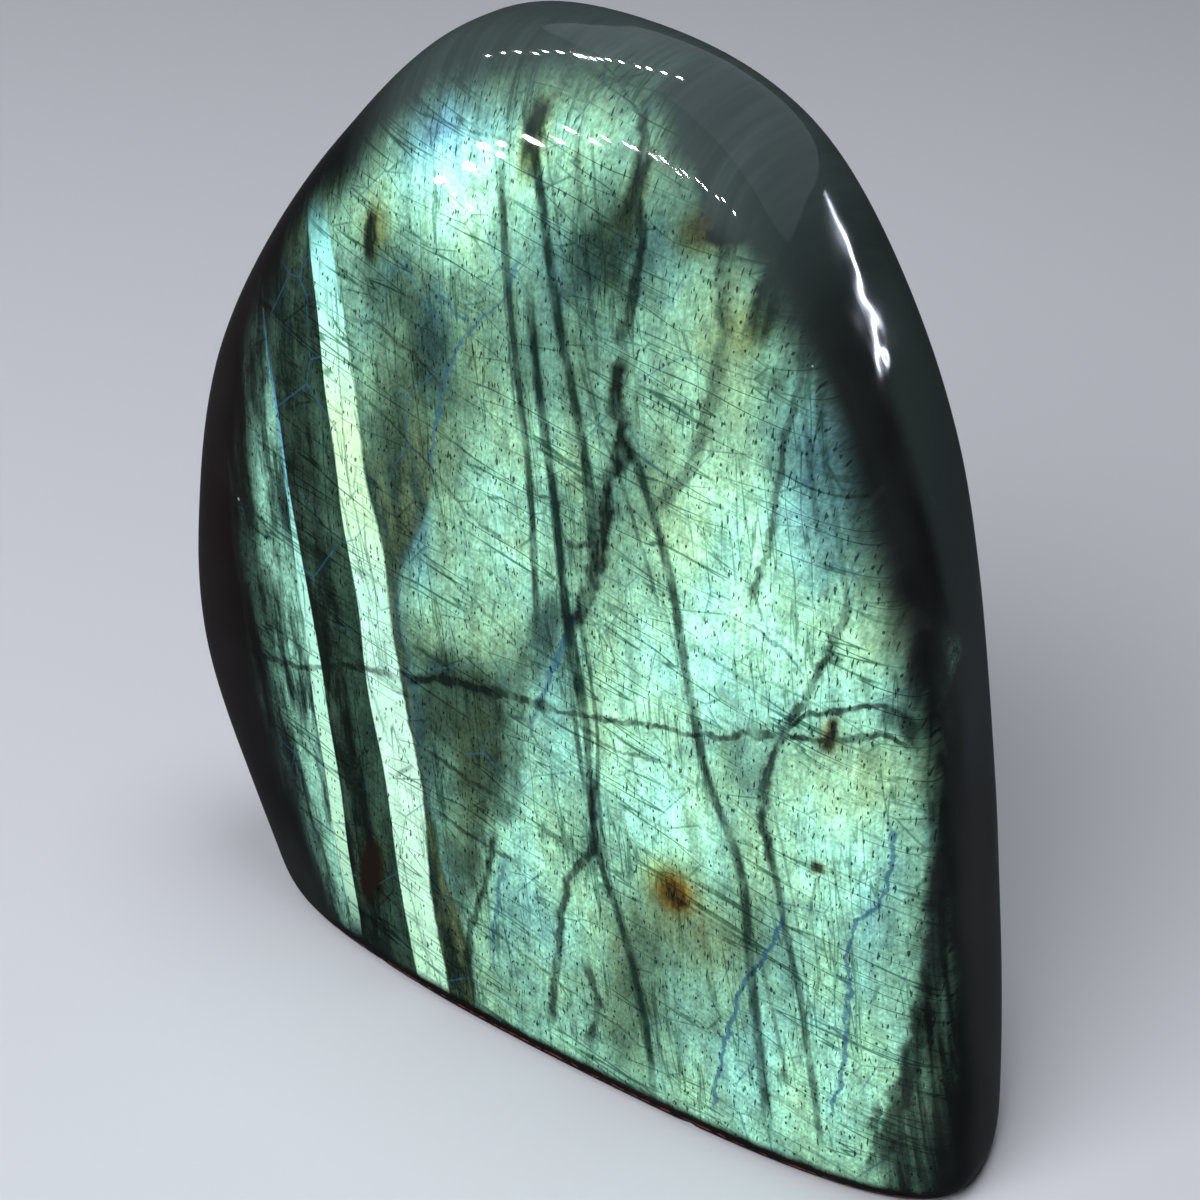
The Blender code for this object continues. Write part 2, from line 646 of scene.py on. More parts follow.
def noise_4d(
    tree: bpy.types.NodeTree, place: Signal, size: Signal, seed: Signal, detail: float
) -> Signal:
    """Smooth noise from 0 to 1 with a seed.

    Args:
        tree: The node tree.
        place: The point that it is read at.
        size: The size of its lumps.
        seed: Its fourth coordinate.
        detail: How many finer layers it has.

    Returns:
        The noise.
    """
    node = tree.nodes.new("ShaderNodeTexNoise")
    node.noise_dimensions = "4D"
    feed(node.inputs["Vector"], place)
    feed(node.inputs["W"], seed)
    feed(node.inputs["Scale"], size.power(-1))
    feed(node.inputs["Detail"], detail)
    return Signal(node.outputs[0])


Operand = Signal | float | Sequence[float]


@dataclass(frozen=True)
class Texture:
    """How a pattern lies in the stone, and how fine it is.

    Its sizes are what one of its lumps, cells or meshes measures: across and up on the widest
    face, or across, deep and up through the stone. Its turn is how far its own across runs down
    to the right, in degrees. Its centre is its own origin on the face, which picks another part
    of it. Its detail is how many finer layers its noise has, and roughness how strong they are.
    """

    sizes: Sequence[float]
    turn: float = 0
    detail: float = 2
    roughness: float = 0.5
    centre: Place = (0, 0)


class Pattern:
    """The node tree of the stone's finish, and its coordinates in millimetres."""

    jags: Texture = Texture((2.6, 2.6), detail=3, roughness=0.62)

    def __init__(self, tree: bpy.types.NodeTree) -> None:
        """Lays out the coordinates.

        Args:
            tree: The material's node tree.
        """
        self.tree = tree
        inside = Signal(tree.nodes.new("ShaderNodeTexCoord").outputs["Object"])
        self.place = self._mapped(inside, scale=(1 / MM, 1 / MM, 1 / MM))
        self.across, self.depth, self.up = self.place.split()
        self.face = self._mapped(self.place, turn=(-90, 0, 0), scale=(1, 0, 1))
        self.jag = self.noise(self.jags).scaled_and_moved(2, -1)
        self.jag_three, self.across_three, self.up_three = (
            self._tripled(number) for number in (self.jag, self.across, self.up)
        )

    def _mapped(
        self,
        place: Signal,
        kind: str = "POINT",
        shift: Sequence[float] = (0, 0, 0),
        turn: Sequence[float] = (0, 0, 0),
        scale: Sequence[float] = (1, 1, 1),
    ) -> Signal:
        """The result of a Mapping node, with its turn in degrees."""
        node = self.tree.nodes.new("ShaderNodeMapping")
        node.vector_type = kind
        feed(node.inputs["Vector"], place)
        feed(node.inputs["Location"], shift)
        feed(node.inputs["Rotation"], [math.radians(angle) for angle in turn])
        feed(node.inputs["Scale"], scale)
        return Signal(node.outputs[0])

    def _tripled(self, number: Signal) -> Signal:
        """A vector with the same number three times."""
        node = self.tree.nodes.new("ShaderNodeCombineXYZ")
        for socket in node.inputs:
            feed(socket, number)
        return Signal(node.outputs[0])

    def noted(self, name: str) -> tuple[Signal, Signal, Signal]:
        """The three numbers of a note on the mesh."""
        node = self.tree.nodes.new("ShaderNodeAttribute")
        node.attribute_name = name
        return Signal(node.outputs["Vector"]).split()

    def _laid(self, kind: str, texture: Texture) -> bpy.types.Node:
        """A texture node of this kind, laid as the texture says, in cells that measure one."""
        centre, turn, sizes = texture.centre, texture.turn, texture.sizes
        if len(sizes) == 2:
            where = self._mapped(self.face, "TEXTURE", (*centre, 0), (0, 0, -turn), (*sizes, 1))
        else:
            centre = (centre[0], 0, centre[1])
            where = self._mapped(self.place, "TEXTURE", centre, (0, turn, 0), sizes)
        node = self.tree.nodes.new(f"ShaderNodeTex{kind}")
        setattr(node, f"{kind.lower()}_dimensions", f"{len(sizes)}D")
        feed(node.inputs["Vector"], where)
        feed(node.inputs["Scale"], 1.0)
        return node

    def noise(self, texture: Texture) -> Signal:
        """Smooth noise from 0 to 1.

        Args:
            texture: How it lies, and how fine it is.

        Returns:
            The noise.
        """
        node = self._laid("Noise", texture)
        feed(node.inputs["Detail"], texture.detail)
        feed(node.inputs["Roughness"], texture.roughness)
        return Signal(node.outputs[0])

    def creases(self, texture: Texture, width: float) -> Signal:
        """Fine lines that wander, fork and die out, with a width in shares of the noise."""
        return (self.noise(texture) - 0.5).size().rise(width, width * 0.1)

    def cells(self, texture: Texture) -> tuple[Signal, Signal]:
        """Scattered points.

        Args:
            texture: How their cells lie.

        Returns:
            The distance to the nearest point in cells, and that point's own chance from 0 to 1.
        """
        node = self._laid("Voronoi", texture)
        chance = self.tree.nodes.new("ShaderNodeSeparateColor")
        self.tree.links.new(node.outputs["Color"], chance.inputs[0])
        return Signal(node.outputs["Distance"]), Signal(chance.outputs[0])

    def seams(self, texture: Texture) -> Signal:
        """A net of straight lines between scattered points.

        Args:
            texture: How its meshes lie.

        Returns:
            The distance to the nearest line, in meshes.
        """
        node = self._laid("Voronoi", texture)
        node.feature = "DISTANCE_TO_EDGE"
        return Signal(node.outputs["Distance"])

    def courses(self, along: Signal, lines: Sequence[Sequence[Place]], smooth: bool) -> Signal:
        """Three lines through chosen stops.

        Args:
            along: The coordinate that they run along, three times.
            lines: For each, where it is at chosen places along, in order.
            smooth: Whether they bend smoothly at their stops.

        Returns:
            Where the three lines are at this place along.
        """
        node = self.tree.nodes.new("ShaderNodeVectorCurve")
        feed(node.inputs["Vector"], along)
        node.mapping.use_clip = False
        node.mapping.extend = "HORIZONTAL"
        for curve, stops in zip(node.mapping.curves, lines):
            while len(curve.points) < len(stops):
                curve.points.new(0.5, 0.5)
            while len(curve.points) > len(stops):
                curve.points.remove(curve.points[-1])
            for point, stop in zip(curve.points, stops):
                point.location = stop
                point.handle_type = "AUTO" if smooth else "VECTOR"
        node.mapping.update()
        return Signal(node.outputs[0])

    def mix(self, under: Signal | Colour, over: Signal | Colour, share: Signal | float) -> Signal:
        """One colour laid over another, with how much of the upper one shows."""
        return self._blend("MIX", under, over, share)

    def tinted(self, colour: Signal, shade: Colour, share: Signal) -> Signal:
        """A colour multiplied by a shade, with how much of the shade takes hold."""
        return self._blend("MULTIPLY", colour, shade, share)

    def lit(self, colour: Signal, brightness: Signal) -> Signal:
        """A colour made brighter or darker, where a brightness of one leaves it alone."""
        result = self._blend("MIX", (0, 0, 0, 1), colour, brightness)
        result.socket.node.clamp_factor = False
        return result

    def _blend(
        self, kind: str, under: Signal | Colour, over: Signal | Colour, share: Signal | float
    ) -> Signal:
        """The result of a colour Mix node."""
        node = self.tree.nodes.new("ShaderNodeMix")
        node.data_type = "RGBA"
        node.blend_type = kind
        feed(node.inputs[0], share)
        feed(node.inputs[6], under)
        feed(node.inputs[7], over)
        return Signal(node.outputs[2])

    def ramp(self, value: Signal, stops: Stops) -> Signal:
        """A colour that changes along a ramp.

        Args:
            value: The place on the ramp, in the unit of the stops.
            stops: The colours and where they are, lowest first.

        Returns:
            The colour at that place.
        """
        start, end = stops[0][0], stops[-1][0]
        node = self.tree.nodes.new("ShaderNodeValToRGB")
        feed(node.inputs[0], value.ramp(start, end))
        elements = node.color_ramp.elements
        while len(elements) < len(stops):
            elements.new(0.5)
        for element, (place, colour) in zip(elements, stops):
            element.position = (place - start) / (end - start)
            element.color = colour
        return Signal(node.outputs[0])

    def bumped(self, height: Signal, distance: float) -> Signal:
        """The surface's normal over fine bumps.

        Args:
            height: How high the bumps are, from 0 to 1.
            distance: How high one is, in metres.

        Returns:
            The normal.
        """
        node = self.tree.nodes.new("ShaderNodeBump")
        feed(node.inputs["Distance"], distance)
        feed(node.inputs["Height"], height)
        return Signal(node.outputs[0])


# ----------------------------------------
# What lies in the stone
#
# Each rise here starts and ends at places in millimetres, or at two values of a noise. Colours
# are laid over each other from the bottom up, each with the share of it that shows.
# ----------------------------------------


class Runs(Enum):
    """Which way a vein runs, so that it crosses each place along it once."""

    UP = "up"
    ACROSS = "across"


@dataclass(frozen=True)
class Vein:
    """A crack or a twin line, through places on the widest face from one end to the other.

    Its dark is how strongly it shows, from 0 to 1, its jag is how far it strays to each side, and
    its taper is how long each end takes to fade out.
    """

    places: Sequence[Place]
    width: float
    dark: float
    jag: float
    runs: Runs = Runs.UP
    smooth: bool = False
    taper: float = 3.0

    def stops(self) -> list[Place]:
        """Its places as how far along and how far beside, in order."""
        upwards = self.runs is Runs.UP
        return sorted((up, across) if upwards else (across, up) for across, up in self.places)


def crossing(places: Sequence[Place], width: float, dark: float, jag: float) -> Vein:
    """A crack that runs across the face."""
    return Vein(places, width, dark, jag, Runs.ACROSS)


def twin_line(
    places: Sequence[Place], width: float, dark: float, jag: float = 0.2, taper: float = 6
) -> Vein:
    """A twin line, which runs up the face and bends smoothly."""
    return Vein(places, width, dark, jag, smooth=True, taper=taper)


@dataclass(frozen=True)
class Patch:
    """A soft-edged oval on the widest face. Its turn is how far it leans down to the right."""

    centre: Place
    radii: Place
    strength: float
    turn: float = 0
    core: float = 0


def patches(*rows: Sequence[float]) -> tuple[Patch, ...]:
    """Soft-edged ovals from rows of numbers.

    Args:
        rows: For each oval its middle across and up, its radii across and up, its strength,
            and then, where it has them, its turn and how much of its radii its flat core takes.

    Returns:
        The ovals.
    """
    return tuple(Patch(row[:2], row[2:4], *row[4:]) for row in rows)


def patched(ovals: Iterable[Patch], across: np.ndarray, up: np.ndarray) -> np.ndarray:
    """The sum of several soft patches at each of many places.

    Args:
        ovals: The patches.
        across: How far across each place is.
        up: How far up each is.

    Returns:
        The sums.
    """
    total = np.zeros(len(across))
    for oval in ovals:
        turn = math.radians(oval.turn)
        right, above = across - oval.centre[0], up - oval.centre[1]
        along = (right * math.cos(turn) - above * math.sin(turn)) / oval.radii[0]
        beside = (right * math.sin(turn) + above * math.cos(turn)) / oval.radii[1]
        part = np.clip((1 - np.hypot(along, beside)) / (1 - oval.core), 0, 1)
        total += oval.strength * part * part * (3 - 2 * part)
    return total


def three_marks(veins: Sequence[Vein], pattern: Pattern) -> Signal:
    """How strongly three veins that run the same way show.

    Args:
        veins: The three veins.
        pattern: The finish that they are laid into.

    Returns:
        A number from 0 to 1 for each, with a dark core and soft skirts on both sides.
    """
    upwards = veins[0].runs is Runs.UP
    along = pattern.up_three if upwards else pattern.across_three
    beside = pattern.across_three if upwards else pattern.up_three
    lines = [vein.stops() for vein in veins]
    line = pattern.courses(along, lines, veins[0].smooth)
    off = pattern.jag_three.times_each([vein.jag for vein in veins], beside).minus(line).sizes()
    skirts = [SKIRT * vein.width for vein in veins]
    cores = [CORE * vein.width for vein in veins]
    strength = off.rise_each(skirts, cores, (0, 0, 0), [vein.dark for vein in veins])
    middles = [(stops[0][0] + stops[-1][0]) / 2 for stops in lines]
    halves = [(stops[-1][0] - stops[0][0]) / 2 for stops in lines]
    full = [half - min(vein.taper, half / 2) for vein, half in zip(veins, halves)]
    inside = along.minus(middles).sizes().rise_each(halves, full, (0, 0, 0), (1, 1, 1))
    return strength.times(inside)


def strongest(veins: Sequence[Vein], pattern: Pattern) -> Signal:
    """The strongest of several veins at each point.

    Args:
        veins: The veins.
        pattern: The finish that they are laid into.

    Returns:
        How strongly they show, from 0 to 1.
    """
    threes = []
    for runs, smooth in product(Runs, (False, True)):
        alike = [vein for vein in veins if vein.runs is runs and vein.smooth is smooth]
        alike += alike[-1:] * (-len(alike) % 3)
        threes += [alike[start:start + 3] for start in range(0, len(alike), 3)]
    marks = reduce(Signal.larger_each, (three_marks(three, pattern) for three in threes))
    first, second, third = marks.split()
    return first.larger(second).larger(third)


@dataclass(frozen=True)
class Flash:
    """The green flash of the widest face: where it ends, how bright it is, and its hues.

    Its edges are lines through stops. Right, left and the wedge go up the face, and the top goes
    across it. The brightness of each point is the evenness and the lights less the shades.
    """

    right: Sequence[Place] = (
        (0, 52), (7, 52.5), (19, 53.3), (36, 53.2), (50, 51.2), (61, 48.2), (68, 45.4),
        (76, 42.5), (82, 40), (88, 37), (94, 33.5), (99, 29.5), (104, 26), (108, 20.5),
        (112, 15), (118, 8),
    )
    left: Sequence[Place] = (
        (0, -29), (8, -32), (17, -36), (30, -40.5), (42, -43.5), (53, -45), (66, -45),
        (77, -44.6), (90, -40), (100, -34), (112, -25),
    )
    top: Sequence[Place] = (
        (-45, 91), (-33, 96.5), (-27, 103), (-21.5, 108.5), (-16.4, 111.5), (-7.7, 114.5),
        (1.4, 116.5), (8, 115.5), (12, 112.5), (17, 109.5), (24, 104),
    )
    wedge_right: Sequence[Place] = (
        (0, -4.6), (5, -4.7), (13, -4.8), (21, -2.6), (30, -1.7), (36, -0.5), (42, -0.6),
        (48, 0.3), (55, 2.6), (63, 5.6),
    )
    base_gap: float = 2.3
    evenness: float = 0.73
    lights: Sequence[Patch] = patches(
        (29, 69, 21, 19, 0.74), (19, 45, 14, 16, 0.66), (29, 41, 12, 12, 0.3),
        (40, 45, 11, 13, 0.52), (46, 20, 11, 24, 0.34), (-3, 68, 13, 15, 0.42),
        (25, 58, 7, 7, 0.25), (18, 39, 6, 8, 0.22), (17, 59, 14, 10, 0.36),
        (-13, 106, 14, 10, 1.05, -38), (1, 114, 12, 5.5, 0.45), (5, 28, 8, 26, 0.3, -4),
        (12, 22, 7, 12, 0.3), (25, 81, 10, 10, 0.3), (39, 9, 14, 7, 0.28), (32, 14, 26, 15, 0.17),
    )
    shades: Sequence[Patch] = patches(
        (6.5, 101, 11, 15, 0.58, 6), (3, 92, 12, 14, 0.14), (7, 104, 7, 8, 0.12),
        (11, 103, 8, 12, 0.26), (-4, 94, 8, 12, 0.3), (-16, 84, 13, 18, 0.56),
        (-6, 54, 12, 12, 0.1), (-18, 70, 7, 15, 0.44), (-10, 60, 8, 10, 0.12),
        (-24, 92, 8, 9, 0.34), (-31, 102, 7, 7, 0.6), (2, 86, 9, 10, 0.2), (17.5, 81, 5, 7, 0.3),
        (-10, 74, 6, 7, 0.25), (4.5, 70, 4.5, 10, 0.3, -8), (32, 44, 4, 8, 0.2),
        (10.5, 31, 3.5, 7, 0.3), (32, 20, 6, 9, 0.25), (17, 8, 6, 6, 0.25), (4, 8, 6, 6, 0.25),
        (5, 57, 5, 15, 0.4, -12), (12.5, 76, 8, 13, 0.44), (20, 16, 14, 17, 0.52),
        (25, 28, 9, 9, 0.4), (32, 33, 7, 14, 0.22, -12), (38, 59, 9, 6, 0.12),
        (18, 107, 7, 6, 0.34), (11, 88, 8, 8, 0.2), (36, 83, 7, 17, 0.5, -16),
        (30, 89, 6, 10, 0.2, -14), (29, 99, 7, 9, 0.4),
    )
    yellows: Sequence[Patch] = patches(
        (-12, 76, 14, 14, 0.45), (-5, 52, 10, 9, 0.75), (-4, 40, 7, 12, 0.7), (5.7, 79, 5, 7, 0.6),
        (22.4, 99, 5, 8, 0.6), (-24, 97, 7, 6, 0.7), (-4, 28, 7, 12, 0.5), (21, 88, 10, 14, 0.5),
        (26, 29, 12, 11, 0.75), (41, 53, 12, 10, 0.55), (19, 79, 9, 12, 0.4), (18, 14, 9, 12, 0.5),
        (44, 70, 5, 7, 0.5), (-2, 100, 5, 9, 0.3),
    )
    blues: Sequence[Patch] = patches(
        (-15, 109, 11, 8, 1.3, -25), (-4, 113, 9, 4, 0.6, -10), (-13.5, 86, 4, 18, 0.6),
        (-14.5, 62, 4, 12, 0.8), (3, 99, 6, 10, 0.3), (13, 104, 6, 7, 0.6),
        (5, 50, 5, 14, 0.5, -10), (34, 86, 8, 16, 1.1, -10), (36, 16, 9, 16, 0.45),
        (4, 18, 7, 16, 0.4), (24, 60, 10, 8, 0.3), (46, 34, 5, 16, 0.4),
    )
    yellowness: float = 0.4
    blueness: float = 0.5
    tears: Texture = Texture((1.7, 10, 16), -9, roughness=0.6)
    streaks: Texture = Texture((1.0, 14, 30), -10, roughness=0.65, centre=(33, 8))
    hues: Texture = Texture((8, 15), -8, detail=3, roughness=0.62)
    clouds: Texture = Texture((11, 15), 10, detail=3, centre=(40, 9))
    colours: Stops = (
        (-1.0, paint(124, 184, 222)),
        (-0.6, paint(130, 196, 208)),
        (-0.2, paint(142, 208, 190)),
        (0.1, paint(154, 214, 178)),
        (0.45, paint(166, 210, 160)),
        (0.75, paint(182, 200, 146)),
        (1.1, paint(198, 186, 134)),
    )
    least_light: float = 0.1

    def survey(self, mesh: bpy.types.Mesh, across: np.ndarray, up: np.ndarray) -> None:
        """Notes the flash's edges, light and hue on the mesh.

        Args:
            mesh: The stone's mesh.
            across: How far across each of its points is.
            up: How far up each is.
        """
        right = line_at(self.right, up) - across
        left = across - line_at(self.left, up)
        top = line_at(self.top, across) - up
        note_on_mesh(mesh, "flash edges", (right, left, top))
        light = patched(self.lights, across, up) - patched(self.shades, across, up)
        yellow = self.yellowness * patched(self.yellows, across, up)
        blue = self.blueness * patched(self.blues, across, up)
        wedge = line_at(self.wedge_right, up) - across
        note_on_mesh(mesh, "flash light", (self.evenness + light, yellow - blue, wedge))

    def reach(self, pattern: Pattern) -> Signal:
        """Where the flash shows, with soft and slightly torn edges.

        Args:
            pattern: The finish that it is laid into.

        Returns:
            The share of flash, from 0 to 1.
        """
        torn = pattern.noise(self.tears).scaled_and_moved(3, -1.5)
        right, left, top = pattern.noted("flash edges")
        right = right + torn
        # The right edge is softer towards the top, and lower down streaks run on past it.
        share = (right / pattern.up.rise(56, 80, 2.4, 4.4)).rise(-0.1, 1)
        streaks = pattern.noise(self.streaks).rise(0.4, 0.66, 0.03, 0.3)
        share = share.larger(right.rise(-6, 1) * streaks * pattern.up.rise(68, 54))
        share = share * torn.scaled_and_moved(1.6, left).rise(-1, 7) * (torn + top).rise(-5, 8)
        # The shoulder and the right side turn away from the flash, so it ends nearer the front.
        shoulder = pattern.up.rise(62, 76) * pattern.across.rise(12, 26)
        shoulder = shoulder.larger(pattern.across.rise(44, 50, 0, 0.8))
        front = shoulder.scaled_and_moved(11.5, torn * 0.7 + pattern.depth).rise(1, -4)
        foot = torn.scaled_and_moved(0.25, pattern.up)
        return share * front * foot.rise(self.base_gap - 0.5, self.base_gap + 0.7)

    def colour(self, pattern: Pattern) -> Signal:
        """The colour of the flash before anything darkens it.

        Args:
            pattern: The finish that it is laid into.

        Returns:
            The colour.
        """
        light, hue, wedge = pattern.noted("flash light")
        hue = pattern.noise(self.hues).scaled_and_moved(0.9, hue - 0.41)
        colour = pattern.ramp(hue, self.colours)
        light = pattern.noise(self.clouds).scaled_and_moved(0.8, light - 0.4)
        # The lower half of the face is darker left of the wedge's edge.
        in_wedge = (pattern.jag + wedge).rise(-0.8, 2.6) * pattern.up.rise(54, 47, 0, 0.56)
        return pattern.lit(colour, (light - in_wedge).larger(self.least_light))


@dataclass(frozen=True)
class Grain:
    """The fine grain of the flash: leathery lumps, upright striations and short needles."""

    leather: Texture = Texture((0.42, 0.55), 8, roughness=0.6)
    striation: Texture = Texture((0.30, 7), -3, detail=1)
    streak: Texture = Texture((2.2, 60), -13, roughness=0.6, centre=(7, 70))
    mottle: Texture = Texture((2.4, 3.0), 6, roughness=0.6, centre=(50, 31))
    needle: Texture = Texture((0.34, 1.25), -2, detail=1, roughness=0.4)
    crowd: Texture = Texture((6, 8), detail=1, centre=(5, 77))
    dot: Texture = Texture((1.1, 1.6), -2, centre=(9, 3))
    darkness: float = 0.85
    least_light: float = 0.1

    def light(self, pattern: Pattern) -> Signal:
        """How bright the grain leaves each point, about one.

        Args:
            pattern: The finish that it is laid into.

        Returns:
            The brightness.
        """
        fine = pattern.noise(self.leather).scaled_and_moved(1.3, 0.35)
        fine = fine * pattern.noise(self.striation).scaled_and_moved(0.5, 0.75)
        fine = fine * pattern.noise(self.streak).scaled_and_moved(0.8, 0.6)
        fine = fine * pattern.noise(self.mottle).scaled_and_moved(1.3, 0.35)
        return fine.larger(self.least_light)

    def needles(self, pattern: Pattern) -> Signal:
        """The black needles and dots.

        Args:
            pattern: The finish that they are laid into.

        Returns:
            How strongly they show, from 0 to 1.
        """
        upright = pattern.noise(self.needle)
        crowd = pattern.noise(self.crowd).scaled_and_moved(0.12, -0.06)
        needles = (upright + crowd).rise(0.69, 0.75)
        away, chance = pattern.cells(self.dot)
        dots = (chance.rise(0.5, 1.0, 0.0, 0.16) - away).rise(0.0, 0.06)
        return needles.larger(dots) * self.darkness


@dataclass(frozen=True)
class Cleavage:
    """The many thin cleavage cracks, which cross the face, and the net of hairlines.

    Each kind of crack is a pattern of creases of one width, shown only where its cover is thick.
    """

    long: Texture = Texture((44, 3.0), 10, centre=(3, 8))
    long_width: float = 0.022
    long_cover: Texture = Texture((14, 8), 6, detail=1)
    short: Texture = Texture((30, 2.3), 13, centre=(31, 2))
    short_width: float = 0.024
    short_cover: Texture = Texture((9, 7), 10, detail=1, centre=(15, 5))
    steep: Texture = Texture((1.9, 22), -12, centre=(7, 51))
    steep_width: float = 0.04
    steep_cover: Texture = Texture((6, 14), -12, detail=1, centre=(2, 9))
    net: Texture = Texture((9, 3.2), 10, centre=(2, 19))
    net_cover: Texture = Texture((8, 6), detail=1, centre=(70, 2))
    hair_net: Texture = Texture((8, 11), 25, centre=(12, 4))
    hair_cover: Texture = Texture((10, 10), detail=1, centre=(60, 60))
    hair_strength: float = 0.5

    def mark(self, pattern: Pattern) -> Signal:
        """How strongly the cracks show.

        Args:
            pattern: The finish that they are laid into.

        Returns:
            A number from 0 to 1.
        """
        long = pattern.creases(self.long, self.long_width)
        long = long * pattern.noise(self.long_cover).rise(0.34, 0.6, 0.2, 0.9)
        short = pattern.creases(self.short, self.short_width)
        short = short * pattern.noise(self.short_cover).rise(0.4, 0.62, 0, 0.42)
        steep = pattern.creases(self.steep, self.steep_width)
        steep = steep * pattern.noise(self.steep_cover).rise(0.42, 0.62, 0, 0.7)
        net = pattern.seams(self.net).rise(0.035, 0.006)
        net = net * pattern.noise(self.net_cover).rise(0.44, 0.6, 0, 0.6)
        return long.larger(short).larger(steep).larger(net)

    def hairs(self, pattern: Pattern) -> Signal:
        """How strongly the net of bluish hairlines shows, from 0 to 1."""
        net = pattern.seams(self.hair_net).rise(0.02, 0.003)
        return net * pattern.noise(self.hair_cover).rise(0.48, 0.6) * self.hair_strength


@dataclass(frozen=True)
class TwinBands:
    """The two bright twin bands at the left, with the dark panels beside them.

    The edges are lines through stops up the face. The dark panel lies between the thin band and
    the bright one, the haze is beyond the thin band, and the dark strip is right of the bright
    band.
    """

    bright_left: Sequence[Place] = (
        (0, -13), (5, -14.1), (12.3, -15.8), (30, -19), (40, -21.7), (50.5, -23.4),
        (61.4, -26.3), (67.3, -27.5), (76.3, -29.8), (84.7, -31.9), (93.2, -35.4), (99, -38.2),
    )
    bright_right: Sequence[Place] = (
        (0, -7.6), (4.4, -8.5), (14.7, -11), (30.5, -13), (40.4, -15.8), (50, -18.2),
        (61.5, -20.6), (64.6, -21.9), (78, -25.1), (86.6, -27.9), (96, -32.4), (99, -34),
    )
    thin_middle: Sequence[Place] = (
        (0, -23.6), (5, -24.2), (15, -26.1), (24, -27.3), (32.4, -29), (40.7, -30.4),
        (51, -32.7), (59.7, -34.8), (69.5, -37.3), (77.8, -40.4), (84, -43),
    )
    thin_half_width: Sequence[Place] = (
        (0, 0.8), (15, 1.15), (35, 1.15), (50, 0.75), (60, 0.32), (78, 0.17), (84, 0.05),
    )
    strip_right: Sequence[Place] = (
        (0, -4), (5.5, -4), (14, -6.5), (21, -9.8), (27, -11.4), (33.6, -13.3), (41, -14.6),
        (46.3, -15.6), (51, -16.9), (56.7, -16.8), (63.5, -14.4), (70.8, -12.8), (80, -16.5),
        (90, -22), (100, -29),
    )
    substrip: float = 3.6
    haze_reach: float = 8.5
    haze_softness: float = 4
    raggedness: float = 0.28
    inner: Sequence[Vein] = (
        Vein(((-31, 76), (-26, 62), (-22, 52)), 0.16, 0.5, 0.4),
        Vein(((-29, 88), (-27.5, 78), (-25.5, 66), (-19.5, 50)), 0.14, 0.5, 0.3),
        Vein(((-23, 44), (-18, 33.5), (-14, 31)), 0.2, 0.4, 0.3),
        crossing(((-17.4, 29.3), (-14, 32.8)), 0.35, 0.55, 0.3),
        Vein(((-17, 22), (-12.4, 7), (-10, 4)), 0.16, 0.45, 0.3),
        crossing(((-25, 56), (-19, 54), (-17, 53)), 0.15, 0.4, 0.6),
        crossing(((-24, 50), (-16, 47)), 0.15, 0.35, 0.6),
    )
    inner_colour: Colour = paint(70, 112, 92)
    faded: Texture = Texture((2.6, 12), -12, detail=3, roughness=0.62)
    panel_dark: Colour = paint(12, 18, 16)
    panel_pale: Colour = paint(50, 70, 58)
    panel_edge: Colour = paint(56, 86, 70)
    haze_dark: Colour = paint(34, 52, 47)
    haze_pale: Colour = paint(140, 198, 174)
    strip_dark: Colour = paint(24, 38, 32)
    strip_pale: Colour = paint(92, 108, 74)
    strip_edge: Colour = paint(52, 92, 104)
    bright: Stops = (
        (0, paint(188, 242, 202)),
        (30, paint(204, 250, 222)),
        (52, paint(190, 246, 220)),
        (62, paint(206, 252, 204)),
        (72, paint(210, 250, 200)),
        (84, paint(180, 248, 224)),
        (94, paint(150, 238, 232)),
        (99, paint(60, 92, 92)),
    )
    thin: Stops = (
        (3, paint(110, 150, 136)),
        (9, paint(176, 224, 194)),
        (17, paint(190, 240, 204)),
        (30, paint(190, 244, 212)),
        (55, paint(172, 236, 220)),
        (66, paint(96, 164, 200)),
        (80, paint(56, 96, 150)),
    )

    def survey(self, mesh: bpy.types.Mesh, across: np.ndarray, up: np.ndarray) -> None:
        """Notes how far each point of the mesh is from the edges of the bands.

        Args:
            mesh: The stone's mesh.
            across: How far across each of its points is.
            up: How far up each is.
        """
        from_left = across - line_at(self.bright_left, up)
        from_right = line_at(self.bright_right, up) - across
        from_thin = across - line_at(self.thin_middle, up)
        note_on_mesh(mesh, "band edges", (from_left, from_right, from_thin))
        from_strip = line_at(self.strip_right, up) - across
        width = line_at(self.thin_half_width, up)
        note_on_mesh(mesh, "strip edges", (from_strip, width, width))

    def dress(self, pattern: Pattern, colour: Signal, fine: Signal) -> Signal:
        """Lays the bands and panels over a colour.

        Args:
            pattern: The finish.
            colour: The colour so far.
            fine: The brightness of the grain.

        Returns:
            The colour with the bands.
        """
        up, mix, lit = pattern.up, pattern.mix, pattern.lit
        ragged = pattern.jag * self.raggedness
        from_left, from_right, from_thin = pattern.noted("band edges")
        from_strip, width, _ = pattern.noted("strip edges")
        faded = pattern.noise(self.faded)

        panel = mix(self.panel_dark, self.panel_pale, faded.rise(0.4, 0.78))
        lighter = from_left.rise(-self.substrip - 0.4, -self.substrip + 0.5)
        panel = mix(panel, self.panel_edge, lighter * up.rise(88, 66) * 0.45)
        inside_panel = from_thin.rise(-0.2, 0.3) * from_left.rise(0.3, -0.1)
        colour = mix(colour, lit(panel, fine), inside_panel * up.rise(101, 86, 0.2, 0.96))

